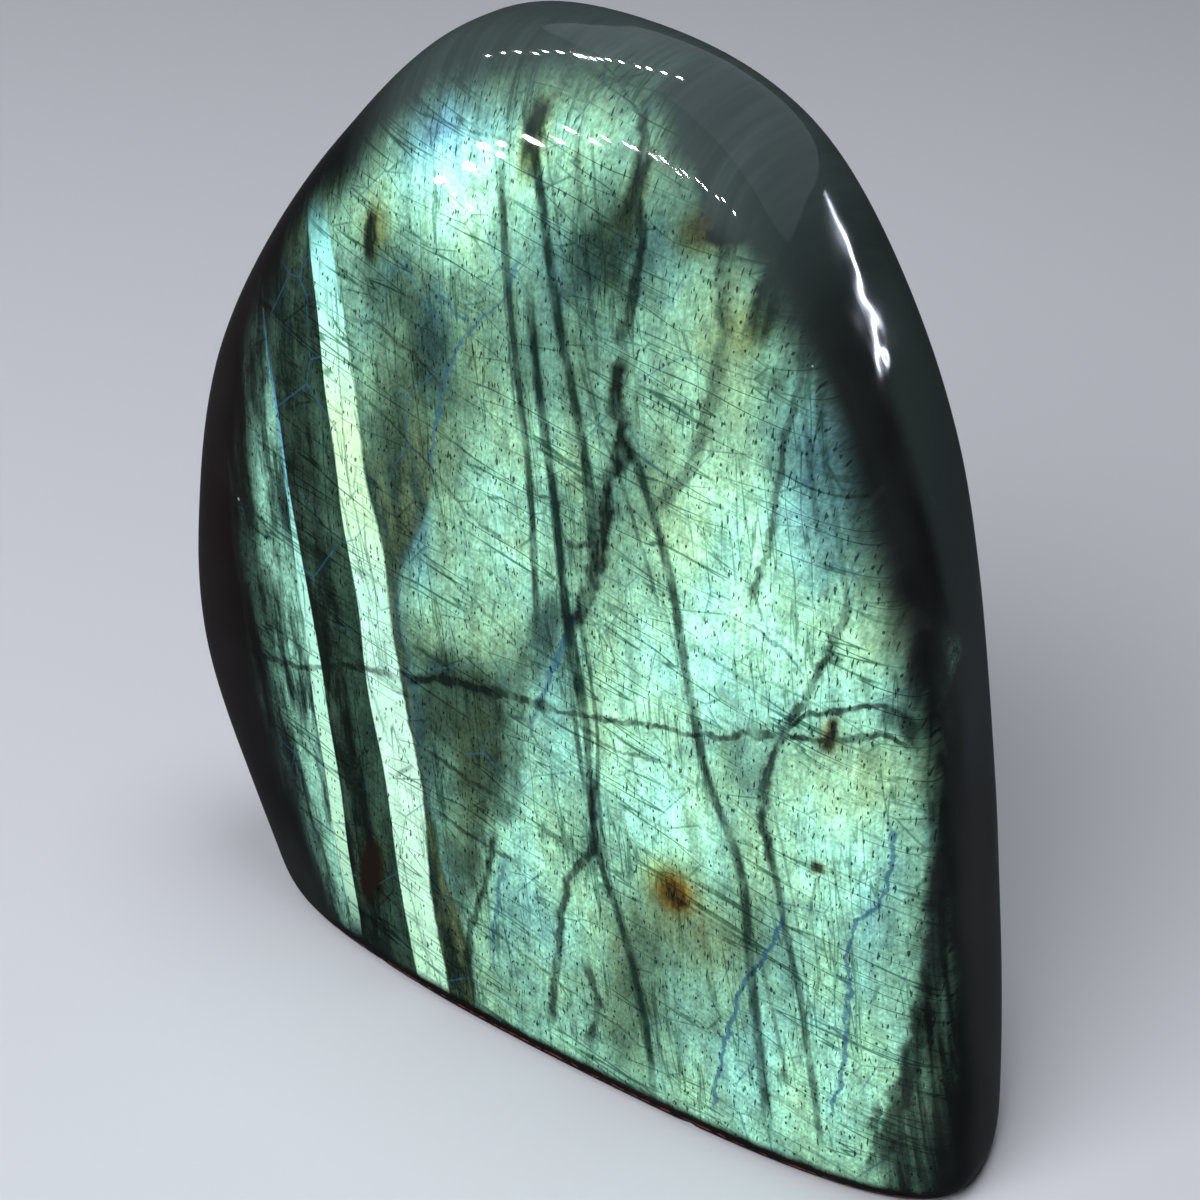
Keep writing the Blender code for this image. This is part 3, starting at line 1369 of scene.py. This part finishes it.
        haze = mix(self.haze_dark, self.haze_pale, faded.rise(0.32, 0.68))
        outer = from_thin.rise(-self.haze_reach, -self.haze_reach + self.haze_softness, 0.22, 1)
        haze = lit(lit(haze, fine), outer * up.rise(82, 62, 0.25, 1))
        colour = mix(colour, haze, from_thin.rise(0.2, -0.4) * 0.96)

        strip = mix(self.strip_dark, self.strip_pale, faded.rise(0.36, 0.8))
        inside_strip = from_right.rise(0.2, -0.3) * (from_strip + ragged).rise(-0.3, 0.5)
        colour = mix(colour, lit(strip, fine), inside_strip * up.rise(88, 62, 0.1, 0.93))
        edge = (from_strip + ragged).size().rise(1.6, 0.1) * up.rise(74, 60)
        colour = mix(colour, self.strip_edge, edge * up.rise(28, 40) * 0.4)

        bright = lit(pattern.ramp(up, self.bright), fine.scaled_and_moved(0.42, 0.6))
        bright = mix(bright, self.inner_colour, strongest(self.inner, pattern))
        inside = from_left.rise(-0.08, 0.16) * (from_right + ragged).rise(-0.1, 0.35)
        colour = mix(colour, bright, inside * (up + pattern.jag * 2.5).rise(99, 92))

        thin_mark = (width - from_thin.size() + ragged * 0.12).rise(-0.08, 0.14)
        thin_mark = thin_mark * up.rise(86, 80) * up.rise(2, 6)
        return mix(colour, pattern.ramp(up, self.thin), thin_mark)


@dataclass(frozen=True)
class Inclusions:
    """Dark and rusty spots in the stone, with their stained halos."""

    ochre: Sequence[Patch] = patches(
        (-4.4, 111.8, 2.8, 6.5, 0.75, 0, 0.3), (-23.8, 96, 3, 4.2, 0.7, 0, 0.3),
        (24.2, 99, 2.6, 4.5, 0.5, 0, 0.3), (22.5, 32.2, 5.4, 5, 0.8, 0, 0.3),
        (17.5, 107.5, 5.5, 3.6, 0.7, -30, 0.4), (9, 108, 2.2, 6, 0.35, 0, 0.4),
    )
    rust: Sequence[Patch] = patches(
        (-20.8, 14, 3.2, 7.6, 0.9, 10, 0.4), (23.2, 31.7, 3.6, 3.9, 0.9, 0, 0.4),
        (39.6, 58.3, 1.3, 3.4, 0.8, 0, 0.4), (40.3, 42.2, 1.1, 1.3, 0.7, 0, 0.4),
        (19, 108.5, 5.5, 2.4, 0.8, -30, 0.4), (-1, 66.5, 2.4, 1.8, 0.22, 0, 0.3),
    )
    soot: Sequence[Patch] = patches(
        (-21.2, 14.1, 2, 6.6, 1, 10, 0.3), (23.5, 31.4, 2.7, 3.2, 0.44, 0, 0.4),
        (20.8, 108.3, 5.5, 2, 0.9, -30, 0.3),
    )
    ochre_stain: Colour = paint(236, 196, 128)
    rust_stain: Colour = paint(214, 140, 82)
    dark: Colour = paint(26, 18, 15)
    raggedness: float = 0.3

    def survey(self, mesh: bpy.types.Mesh, across: np.ndarray, up: np.ndarray) -> None:
        """Notes on the mesh where the spots and halos are, from the places of its points."""
        kinds = (self.ochre, self.rust, self.soot)
        note_on_mesh(mesh, "stains", [patched(kind, across, up) for kind in kinds])

    def lay(self, pattern: Pattern, colour: Signal) -> Signal:
        """Lays the spots over a colour.

        Args:
            pattern: The finish.
            colour: The colour so far.

        Returns:
            The colour with the spots.
        """
        ochre, rust, soot = pattern.noted("stains")
        colour = pattern.tinted(colour, self.ochre_stain, ochre.smaller(1))
        colour = pattern.tinted(colour, self.rust_stain, rust.smaller(1))
        sooty = (pattern.jag * self.raggedness + soot).rise(0.2, 0.6)
        return pattern.mix(colour, self.dark, sooty)


CRACKS = (
    # Dark upright slivers.
    Vein(((-4.7, 117), (-4.4, 111.5), (-4.2, 106)), 1, 0.95, 0.7, taper=5),
    Vein(((-24.6, 99), (-24.3, 95.2), (-24.1, 91.4)), 0.8, 0.95, 0.7, taper=3.6),
    Vein(((25.1, 106), (25.1, 101.5), (25.2, 97)), 1.1, 0.95, 0.9, taper=4),
    Vein(((8.7, 114.5), (8.8, 110), (9, 105.5)), 0.8, 0.92, 0.8, taper=4),
    Vein(((39.8, 61), (39.6, 58.3), (39.4, 55.6)), 0.5, 0.95, 0.5, taper=2.5),
    Vein(((40.3, 43), (40.3, 42.2), (40.3, 41.4)), 0.6, 0.95, 0.3, taper=0.6),
    Vein(((40.2, 41.4), (40, 38), (40, 35.5)), 0.16, 0.7, 0.3, taper=2),
    # The main crack, from the crown down to the middle, and where it goes on below.
    Vein(
        ((4.4, 118.6), (8, 114.3), (8.8, 110), (11.2, 104.9), (10.9, 98.1), (10.5, 92)),
        0.6, 0.92, 0.9,
    ),
    Vein(
        ((10.5, 94), (10.5, 88.2), (12.4, 81.8), (10.3, 78.5), (10.5, 72.8), (10.1, 69),
         (8.6, 62.5), (6.6, 58)),
        0.95, 0.97, 1.3,
    ),
    crossing(((10.3, 71), (7.6, 69.5), (5.2, 69)), 0.45, 0.7, 1),
    Vein(((11.4, 84), (12.4, 81.6), (10.6, 78.8)), 0.75, 0.9, 0.8),
    # The second crack, a soft brown shadow.
    Vein(
        ((9.2, 118.2), (15.5, 112), (19.5, 105.9), (21.8, 99), (21.8, 91.1), (20.3, 82.9),
         (15.5, 75.2)),
        0.75, 0.62, 0.8,
    ),
    # The sweep that curves down beside the dark strip.
    Vein(
        ((5.7, 63.5), (2.5, 54.8), (0.4, 48.1), (-0.4, 41.9), (-0.3, 35.8), (-1.9, 29)),
        1.7, 0.6, 1, smooth=True,
    ),
    Vein(((-1.5, 30), (-2.8, 21.5), (-5, 13.3), (-5.4, 4)), 0.45, 0.85, 0.8),
    Vein(((11.3, 44), (12.3, 32.6), (8.7, 26.9), (8.2, 19.6), (7.4, 4.6)), 0.5, 0.9, 0.7),
    crossing(((12.2, 33.2), (9, 27.5)), 0.5, 0.85, 0.8),
    # The crack that crosses the whole face.
    crossing(
        ((-47.3, 34.9), (-32.7, 37.9), (-25.2, 41.6), (-19.7, 42.9), (-15.8, 42.8)),
        0.34, 0.72, 0.7,
    ),
    crossing(
        ((-17, 42.6), (-10.7, 45.8), (-4.8, 46.6), (0.1, 47.7), (6.5, 48.4)), 0.62, 0.93, 0.8,
    ),
    crossing(
        ((3, 48), (6.5, 48.4), (14.5, 50.4), (20.4, 52.1), (24.8, 52.7), (31.9, 55.7)),
        0.32, 0.85, 0.9,
    ),
    crossing(
        ((30, 54.6), (34.2, 56.5), (36.6, 59.8), (40.3, 61.3), (44.1, 63.1), (47.7, 62.4)),
        0.36, 0.9, 0.7,
    ),
    crossing(((30, 55.4), (36.4, 56.9), (39.7, 57.5), (44.6, 59.8), (49.2, 58.2)), 0.34, 0.9, 0.7),
    crossing(((43.5, 62.3), (46, 61.8), (48.8, 59.2)), 1.25, 0.92, 0.5),
    crossing(((6.5, 48.3), (14, 46.5), (20, 47.6), (24, 44.2)), 0.22, 0.6, 0.9),
    # The slanting crack at the right.
    Vein(
        ((39.5, 74.8), (38.7, 70.2), (37, 62.9), (34.2, 56.5), (33.1, 50.6), (33.4, 44.4),
         (35.4, 39)),
        0.5, 0.85, 1,
    ),
    Vein(
        ((53, 52), (52.4, 44), (53.4, 35.7), (53.2, 25.5), (52.4, 17.3), (51, 8), (50, 3)),
        0.9, 0.85, 1.2,
    ),
    Vein(((49.5, 16), (50.3, 9), (49.2, 3)), 0.4, 0.8, 1.2),
    # Long cleavage cracks at the left.
    crossing(((-27.7, 85), (-22, 86), (-16, 84), (-11, 81)), 0.22, 0.55, 0.9),
    crossing(((-25.5, 77.5), (-19, 75), (-13.1, 71.5), (-7.5, 67.8), (-0.6, 66)), 0.22, 0.6, 0.7),
    crossing(((-16.5, 62), (-9, 58.6), (-2.6, 55.8), (3, 53.4)), 0.2, 0.5, 0.6),
    crossing(((-16.8, 48.4), (-10.7, 47.8), (-6.3, 46.6), (-0.5, 45.4)), 0.25, 0.55, 0.6),
    crossing(((-13.5, 35.6), (-5.8, 34), (0.1, 33.4)), 0.3, 0.75, 0.7),
    crossing(((-12, 27.8), (-3.9, 26.4), (3, 26)), 0.24, 0.7, 0.7),
    crossing(((-9, 16.6), (2, 14), (9, 12), (24, 8)), 0.2, 0.55, 0.8),
    Vein(((30.1, 96), (30.1, 84), (30, 76), (28.8, 69)), 0.35, 0.7, 0.8),
    Vein(((11.9, 18), (14, 12), (13, 4)), 0.5, 0.8, 1.2),
)

TWIN_LINES = (
    twin_line(
        ((-8.7, 112), (-5.6, 100.6), (-2.8, 89), (0.2, 76), (2, 62.8), (3, 54)),
        0.44, 0.9, 0.14, 8,
    ),
    twin_line(((-10, 112), (-7.1, 104.5), (-4.2, 92), (-1.2, 78)), 0.14, 0.6, 0.14),
    twin_line(
        ((-8.1, 116.5), (-2.9, 108.4), (0, 101.1), (3, 92.6), (5.4, 86.2), (8.5, 75.5), (9.4, 66)),
        0.6, 0.95, 0.16,
    ),
    twin_line(
        ((-2.4, 99), (0.5, 86.8), (3.7, 74.5), (6, 62.7), (7.4, 56.3), (10.7, 44.8)),
        0.58, 0.97, 0.16,
    ),
    twin_line(((2.2, 103), (6, 92), (9.6, 82)), 0.16, 0.45, 0.2, 5),
    twin_line(((4.7, 93.7), (7.5, 86.7), (12.1, 79.1), (16, 71), (19.8, 63)), 0.24, 0.62),
    twin_line(((-5.6, 116.5), (-1, 108), (2.6, 99)), 0.16, 0.5, 0.2, 5),
    twin_line(((-0.4, 115.5), (2.6, 108), (5.6, 99), (8.6, 88)), 0.3, 0.55),
    twin_line(((1.4, 115.5), (4.6, 108), (7.6, 99)), 0.16, 0.5),
    twin_line(
        ((10.7, 86.6), (17.7, 73.9), (23.2, 56.7), (25.8, 48.9), (31.3, 38.3), (33.4, 28),
         (35.2, 18.4), (37.6, 4)),
        0.58, 0.9, 0.22,
    ),
    twin_line(((24.6, 52), (29.6, 41), (33.5, 31), (37.4, 20), (40.4, 8)), 0.24, 0.5),
    twin_line(((16.7, 71.2), (20.3, 62.9), (24, 52), (27.4, 45.8)), 0.22, 0.5),
    twin_line(
        ((31.1, 52.3), (34.6, 42.3), (37.4, 33), (40, 24.7), (42.3, 14.6), (44.5, 3)),
        0.4, 0.75, 0.24,
    ),
    twin_line(((33, 51), (37, 40), (40.5, 27), (43, 14)), 0.16, 0.45),
    twin_line(
        ((5.7, 64), (9.9, 48.8), (11.3, 38.9), (13.2, 31.7), (16.8, 23.7), (19.8, 15.3),
         (22.4, 3)),
        0.5, 0.9, 0.26, 5,
    ),
    twin_line(((5.4, 66), (8, 50.6), (11.2, 37)), 0.34, 0.85, 0.3, 5),
    twin_line(((7.8, 62), (11.4, 49), (12.6, 38), (14.4, 31)), 0.26, 0.75, 0.3, 4),
    twin_line(((12, 37), (15.4, 28), (18.6, 17), (21.6, 6)), 0.18, 0.55, 0.24, 5),
    twin_line(((15, 30), (20, 17), (25, 4)), 0.2, 0.5, 0.3, 5),
    twin_line(((27, 106), (29.5, 97), (32.5, 88), (36, 77)), 0.26, 0.5),
    twin_line(((29, 103), (32.5, 92), (37, 80), (40, 70)), 0.3, 0.5),
)

BLUE_HAIRS = (
    crossing(((27.8, 65.7), (29, 67.9), (34.1, 66), (37, 62.9)), 0.2, 0.6, 0.8),
    Vein(
        ((47, 51.5), (48.1, 45), (47.4, 40.1), (44.8, 36), (45.2, 27), (45.6, 18), (44.6, 9)),
        0.26, 0.75, 1.1,
    ),
    Vein(((37.6, 36.4), (35.8, 29.7), (33.2, 24.5), (31.3, 15.2), (30, 3)), 0.24, 0.75, 0.9),
    Vein(((-2.7, 101), (-5, 94), (-8.5, 90), (-11, 86), (-13, 77), (-13.5, 70)), 0.22, 0.55, 1),
    crossing(((-14.5, 93), (-11, 90.5), (-8.5, 90)), 0.24, 0.55, 0.9),
    Vein(((2.2, 42), (3.2, 48), (6, 56), (8.4, 64)), 0.3, 0.6, 0.9),
    Vein(((0.2, 27), (-1.4, 18), (-1.2, 8)), 0.25, 0.6, 0.9),
)


@dataclass(frozen=True)
class Reverse:
    """The stone's other side: a weaker, patchy blue and green flash under long cleavage lines."""

    clouds: Texture = Texture((24, 34), -14, detail=3, centre=(71, 13))
    sheets: Texture = Texture((5, 60), -12, centre=(9, 44))
    hues: Texture = Texture((30, 40), 20, detail=3, centre=(3, 91))
    colours: Stops = (
        (0.28, paint(38, 92, 142)),
        (0.42, paint(56, 142, 156)),
        (0.54, paint(84, 160, 132)),
        (0.66, paint(126, 156, 96)),
    )
    strength: float = 0.8

    def dress(self, pattern: Pattern, colour: Signal, fine: Signal) -> Signal:
        """Lays the flash of the other side over a colour.

        Args:
            pattern: The finish.
            colour: The colour so far.
            fine: The brightness of the grain.

        Returns:
            The colour with the flash.
        """
        clouds = pattern.noise(self.clouds).rise(0.42, 0.62)
        sheets = pattern.noise(self.sheets).rise(0.3, 0.58, 0.25, 1)
        glow = pattern.lit(pattern.ramp(pattern.noise(self.hues), self.colours), fine)
        right, left, top = pattern.noted("flash edges")
        edge = right.smaller(left).smaller(top).rise(-2, 12)
        behind = pattern.depth.rise(6, 14)
        return pattern.mix(colour, glow, clouds * sheets * edge * behind * self.strength)


@dataclass(frozen=True)
class Body:
    """The dark stone between the flashes, with faint upright streaks, brown rim and a black foot
    of painted shade.

    A grey haze of painted reflection lies on the crown and on the ridge at the right.
    """

    dark: Colour = paint(10, 12, 13)
    pale: Colour = paint(34, 38, 38)
    cloud: Texture = Texture((16, 16, 22), roughness=0.6)
    streak: Texture = Texture((1.3, 24, 40), -9, roughness=0.6)
    streak_colour: Colour = paint(104, 112, 110)
    # Greys of painted reflection: on the ridge at the right, and streaked on the crown.
    haze: Colour = paint(50, 61, 60)
    crown_painted_reflection: Colour = paint(60, 73, 72)
    rim_colour: Colour = paint(26, 17, 17)
    foot_painted_shade: Colour = paint(14, 9, 9)
    foot_line: Colour = paint(120, 66, 52)
    foot_line_height: float = 0.95
    speck: Texture = Texture((5, 5, 5), centre=(1, 6))
    speck_colour: Colour = paint(190, 200, 196)

    def colour(self, pattern: Pattern) -> Signal:
        """The colour of the body.

        Args:
            pattern: The finish.

        Returns:
            The colour.
        """
        across, depth, up, mix = pattern.across, pattern.depth, pattern.up, pattern.mix
        colour = mix(self.dark, self.pale, pattern.noise(self.cloud).rise(0.36, 0.72))
        streak = pattern.noise(self.streak)
        # Painted reflection: a grey on the crown and on the ridge at the right, where the polish
        # mirrors the room.
        crown = up.rise(90, 112) * across.rise(-34, -22)
        ridge = depth.rise(-5, -1) * up.rise(36, 60) * across.rise(20, 30)
        haze = mix(self.haze, self.crown_painted_reflection, streak.rise(0.2, 0.8) * crown)
        colour = mix(colour, haze, crown.larger(ridge) * depth.rise(16, 4) * 0.85)
        colour = mix(colour, self.streak_colour, streak.rise(0.62, 0.82) * 0.1)
        colour = mix(colour, self.rim_colour, across.rise(-32, -54) * 0.8)
        # Painted shade: the lowest few millimetres, where the base turns under, darkened almost to
        # black.
        colour = mix(colour, self.foot_painted_shade, up.rise(2.4, 1.2) * 0.9)
        off_line = (pattern.jag.scaled_and_moved(0.25, up) - self.foot_line_height).size()
        on_line = off_line.rise(0.22, 0.02) * streak.rise(0.4, 0.6)
        colour = mix(colour, self.foot_line, on_line * 0.8)
        away, chance = pattern.cells(self.speck)
        specks = (chance.rise(0.7, 1.0, 0.0, 0.05) - away).rise(0.0, 0.015)
        return mix(colour, self.speck_colour, specks * 0.7)


@dataclass(frozen=True)
class LabradoriteFinish:
    """The polished stone: dark body, flash, bands, cracks and inclusions under a clear gloss."""

    name: str = "polished labradorite"
    ior: float = 1.56
    gloss: float = 0.3
    roughness: float = 0.03
    rubbed: float = 0.075
    rub: Texture = Texture((5, 5, 8), detail=1, roughness=0.7)
    bumps: float = 0.03 * MM
    cleavage_tint: Colour = paint(96, 124, 118)
    hair_colour: Colour = paint(48, 92, 120)
    blue_hair_colour: Colour = paint(40, 84, 116)
    twin_line_colour: Colour = paint(14, 34, 30)
    crack_colour: Colour = paint(13, 22, 20)
    needle_colour: Colour = paint(14, 24, 22)
    breaks: Texture = Texture((1.6, 5), -8, centre=(21, 64))
    body: Body = Body()
    flash: Flash = Flash()
    grain: Grain = Grain()
    cleavage: Cleavage = Cleavage()
    bands: TwinBands = TwinBands()
    inclusions: Inclusions = Inclusions()
    reverse: Reverse = Reverse()

    def survey(self, mesh: bpy.types.Mesh) -> None:
        """Notes on the mesh what the finish reads from it.

        Args:
            mesh: The stone's mesh.
        """
        points = np.empty(len(mesh.vertices) * 3)
        mesh.vertices.foreach_get("co", points)
        across, _, up = points.reshape(-1, 3).T / MM
        for layer in (self.flash, self.bands, self.inclusions):
            layer.survey(mesh, across, up)

    def colour(self, pattern: Pattern) -> Signal:
        """The colour of the whole surface.

        Args:
            pattern: The finish.

        Returns:
            The colour.
        """
        body = self.body.colour(pattern)
        fine = self.grain.light(pattern)
        flash = pattern.lit(self.flash.colour(pattern), fine)
        flash = self.bands.dress(pattern, flash, fine)
        flash = pattern.tinted(flash, self.cleavage_tint, self.cleavage.mark(pattern))
        flash = pattern.mix(flash, self.hair_colour, self.cleavage.hairs(pattern))
        flash = pattern.mix(flash, self.blue_hair_colour, strongest(BLUE_HAIRS, pattern))
        broken = pattern.noise(self.breaks).rise(0.3, 0.6, 0.7, 1)
        lines = strongest(TWIN_LINES, pattern) * broken
        flash = pattern.mix(flash, self.twin_line_colour, lines)
        flash = self.inclusions.lay(pattern, flash)
        flash = pattern.mix(flash, self.crack_colour, strongest(CRACKS, pattern) * broken)
        flash = pattern.mix(flash, self.needle_colour, self.grain.needles(pattern))
        colour = pattern.mix(body, flash, self.flash.reach(pattern))
        return self.reverse.dress(pattern, colour, fine)

    def build(self) -> bpy.types.Material:
        """Builds the material.

        Returns:
            The material.
        """
        material, shader = new_material(self.name)
        pattern = Pattern(material.node_tree)
        feed(shader.inputs["Base Color"], self.colour(pattern))
        shader.inputs["IOR"].default_value = self.ior
        shader.inputs["Specular IOR Level"].default_value = self.gloss
        rub = pattern.noise(self.rub)
        feed(shader.inputs["Roughness"], rub.rise(0.35, 0.8, self.roughness, self.rubbed))
        feed(shader.inputs["Normal"], pattern.bumped(rub, self.bumps))
        return material


# ----------------------------------------
# The stone and its studio
# ----------------------------------------


@dataclass(frozen=True)
class Freeform:
    """The labradorite freeform: its form, its polish and its finish."""

    name: str = "polished_stone"
    node: str = "stone"
    body: str = "root"
    form: StoneForm = StoneForm()
    polish: HandPolish = HandPolish()
    finish: LabradoriteFinish = LabradoriteFinish()

    def build(self) -> bpy.types.Object:
        """Builds, polishes and dresses the stone, and lets it stand for the frame's node.

        Returns:
            The stone.
        """
        piece = self.form.build(self.name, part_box(self.node))
        self.polish.apply(piece, self.finish.build())
        self.finish.survey(piece.data)
        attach(piece, self.body)
        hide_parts(self.node)
        return piece


COOL_WHITE = paint(226, 236, 255)


@dataclass(frozen=True)
class Lamp:
    """A soft elliptical lamp that faces the stone.

    It hangs midway between its ends, and its length runs from one to the other. A mirrored lamp
    shows in the polish and doesn't light the stone. Any other one lights it and doesn't show.
    """

    name: str
    ends: tuple[Place, Place]
    distance: float
    size: Place
    power: float
    colour: Colour = (1, 1, 1, 1)
    mirrored: bool = True

    def build(self, middle: Vector) -> None:
        """Hangs the lamp.

        Args:
            middle: The stone's middle.
        """
        light = bpy.data.lights.new(self.name, "AREA")
        light.shape = "ELLIPSE"
        light.size, light.size_y = self.size
        light.energy = self.power
        light.color = self.colour[:3]
        lamp = put(self.name, light)
        start, end = (toward(*way) for way in self.ends)
        out = (start + end).normalized()
        along = (end - start - out * (end - start).dot(out)).normalized()
        lamp.matrix_world = Matrix((along, out.cross(along), out)).transposed().to_4x4()
        lamp.location = middle + out * self.distance
        lamp.visible_glossy = self.mirrored
        lamp.visible_diffuse = not self.mirrored


@dataclass(frozen=True)
class LampString:
    """A string of small round lamps, which show as beads of light in the polish.

    Each lamp has its way from the stone's middle. Its radius and power are one lamp's.
    """

    name: str
    ways: Sequence[Place]
    radius: float
    power: float
    distance: float = 0.8

    def build(self, middle: Vector) -> None:
        """Hangs the lamps.

        Args:
            middle: The stone's middle.
        """
        for number, way in enumerate(self.ways):
            light = bpy.data.lights.new(f"{self.name} {number}", "POINT")
            light.energy = self.power
            light.shadow_soft_size = self.radius
            lamp = put(light.name, light)
            lamp.location = middle + toward(*way) * self.distance
            lamp.visible_diffuse = False


RIM_BEADS = (
    (-70, 41), (-71.5, 46), (-73, 51), (-75, 56), (-84, 59), (-93, 61.5), (-102, 63.5),
    (-107, 64), (-112, 65), (-120, 64.5), (-128, 64), (-137, 63), (-145, 62), (-151, 60),
    (-157, 58), (-163, 56),
)
ARC_SPINE = (
    (-42.8, 0.2), (-41.5, 2.5), (-39, 7), (-38, 8.7), (-37, 10.5), (-35, 14), (-34, 16.7),
    (-33, 19.5), (-31, 25), (-28, 29), (-25, 33), (-22, 37), (-19, 41), (-14, 43.5), (-9, 46),
    (-3.5, 49), (2, 52), (7.5, 54.5), (13, 57), (22, 58), (32, 59), (41, 60),
)


def staggered(spine: Sequence[Place], aside: float = 1.5, above: float = 1.2) -> list[Place]:
    """Ways that stray a little from a spine, in turn to one side, and down, level and up.

    Args:
        spine: The ways.
        aside: How far every second one turns aside, in degrees.
        above: How far every third one rises, and every third one sinks, in degrees.

    Returns:
        The strayed ways.
    """
    return [
        (turn + aside * (number % 2), tilt + above * (number % 3 - 1))
        for number, (turn, tilt) in enumerate(spine)
    ]


@dataclass(frozen=True)
class Studio:
    """A plain pale floor, soft light, and the camera."""

    middle: Sequence[float] = (-2.2 * MM, -0.95 * MM, 51.7 * MM)
    view_turn: float = 35.0
    view_tilt: float = 29.0
    view_roll: float = 4.0
    view_distance: float = 346 * MM
    lens: float = 89.5
    film_width: float = 36
    nearest: float = 0.01
    farthest: float = 20
    floor_size: float = 6.0
    floor_colour: Colour = paint(190, 193, 201)
    floor_roughness: float = 0.6
    room_colour: Colour = paint(214, 220, 230)
    room_light: float = 0.065
    lamps: Sequence[Lamp | LampString] = (
        Lamp("key", ((-20, 38), (20, 38)), 0.9, (0.7, 0.7), 10.0, mirrored=False),
        Lamp("overhead", ((-90, 80), (90, 80)), 0.9, (0.5, 0.5), 4.0, mirrored=False),
        Lamp("ceiling", ((150, 46), (-150, 46)), 1.2, (1.8, 1.2), 2.3, COOL_WHITE),
        Lamp("ridge strip", ((150.1, 9), (152.2, 24.4)), 0.9, (0.25, 0.006), 0.34, COOL_WHITE),
        LampString("rim lamp", RIM_BEADS, 0.008, 1.1),
        LampString("arc lamp", staggered(ARC_SPINE), 0.007, 1.5),
    )

    def build_floor(self) -> None:
        """Lays the floor, which is matt."""
        data = bpy.data.meshes.new("floor")
        half = self.floor_size / 2
        corners = [(-half, -half, 0), (half, -half, 0), (half, half, 0), (-half, half, 0)]
        data.from_pydata(corners, [], [(0, 1, 2, 3)])
        material, shader = new_material("pale matt floor")
        shader.inputs["Base Color"].default_value = self.floor_colour
        shader.inputs["Roughness"].default_value = self.floor_roughness
        shader.inputs["Specular IOR Level"].default_value = 0.0
        data.materials.append(material)
        floor = put("floor", data)
        floor.visible_glossy = False

    def build_world(self) -> None:
        """Sets the even light of the room."""
        world = bpy.data.worlds.new("studio")
        world.use_nodes = True
        background = world.node_tree.nodes["Background"]
        background.inputs["Color"].default_value = self.room_colour
        background.inputs["Strength"].default_value = self.room_light
        bpy.context.scene.world = world

    def build_camera(self) -> None:
        """Sets up the camera, which looks down at the stone's widest face."""
        data = bpy.data.cameras.new("camera")
        data.lens = self.lens
        data.sensor_width = self.film_width
        data.clip_start, data.clip_end = self.nearest, self.farthest
        camera = put("camera", data)
        back = toward(self.view_turn, self.view_tilt)
        right = Vector((0, 0, 1)).cross(back).normalized()
        up = back.cross(right)
        roll = math.radians(self.view_roll)
        side = right * math.cos(roll) + up * math.sin(roll)
        top = up * math.cos(roll) - right * math.sin(roll)
        camera.matrix_world = Matrix((side, top, back)).transposed().to_4x4()
        camera.location = Vector(self.middle) + back * self.view_distance
        bpy.context.scene.camera = camera

    def build(self) -> None:
        """Builds the whole studio."""
        self.build_camera()
        self.build_floor()
        self.build_world()
        for lamp in self.lamps:
            lamp.build(Vector(self.middle))
        bpy.context.scene.view_settings.view_transform = "Standard"


def main() -> None:
    """Builds the stone in its studio and reports each piece."""
    logging.basicConfig(level=logging.INFO, format="%(name)s: %(message)s")
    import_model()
    Studio().build()
    log.info("studio: floor, lamps and camera")
    stone = Freeform().build()
    log.info("%s: %d faces", stone.name, len(stone.data.polygons))


if __name__ == "__main__":
    main()
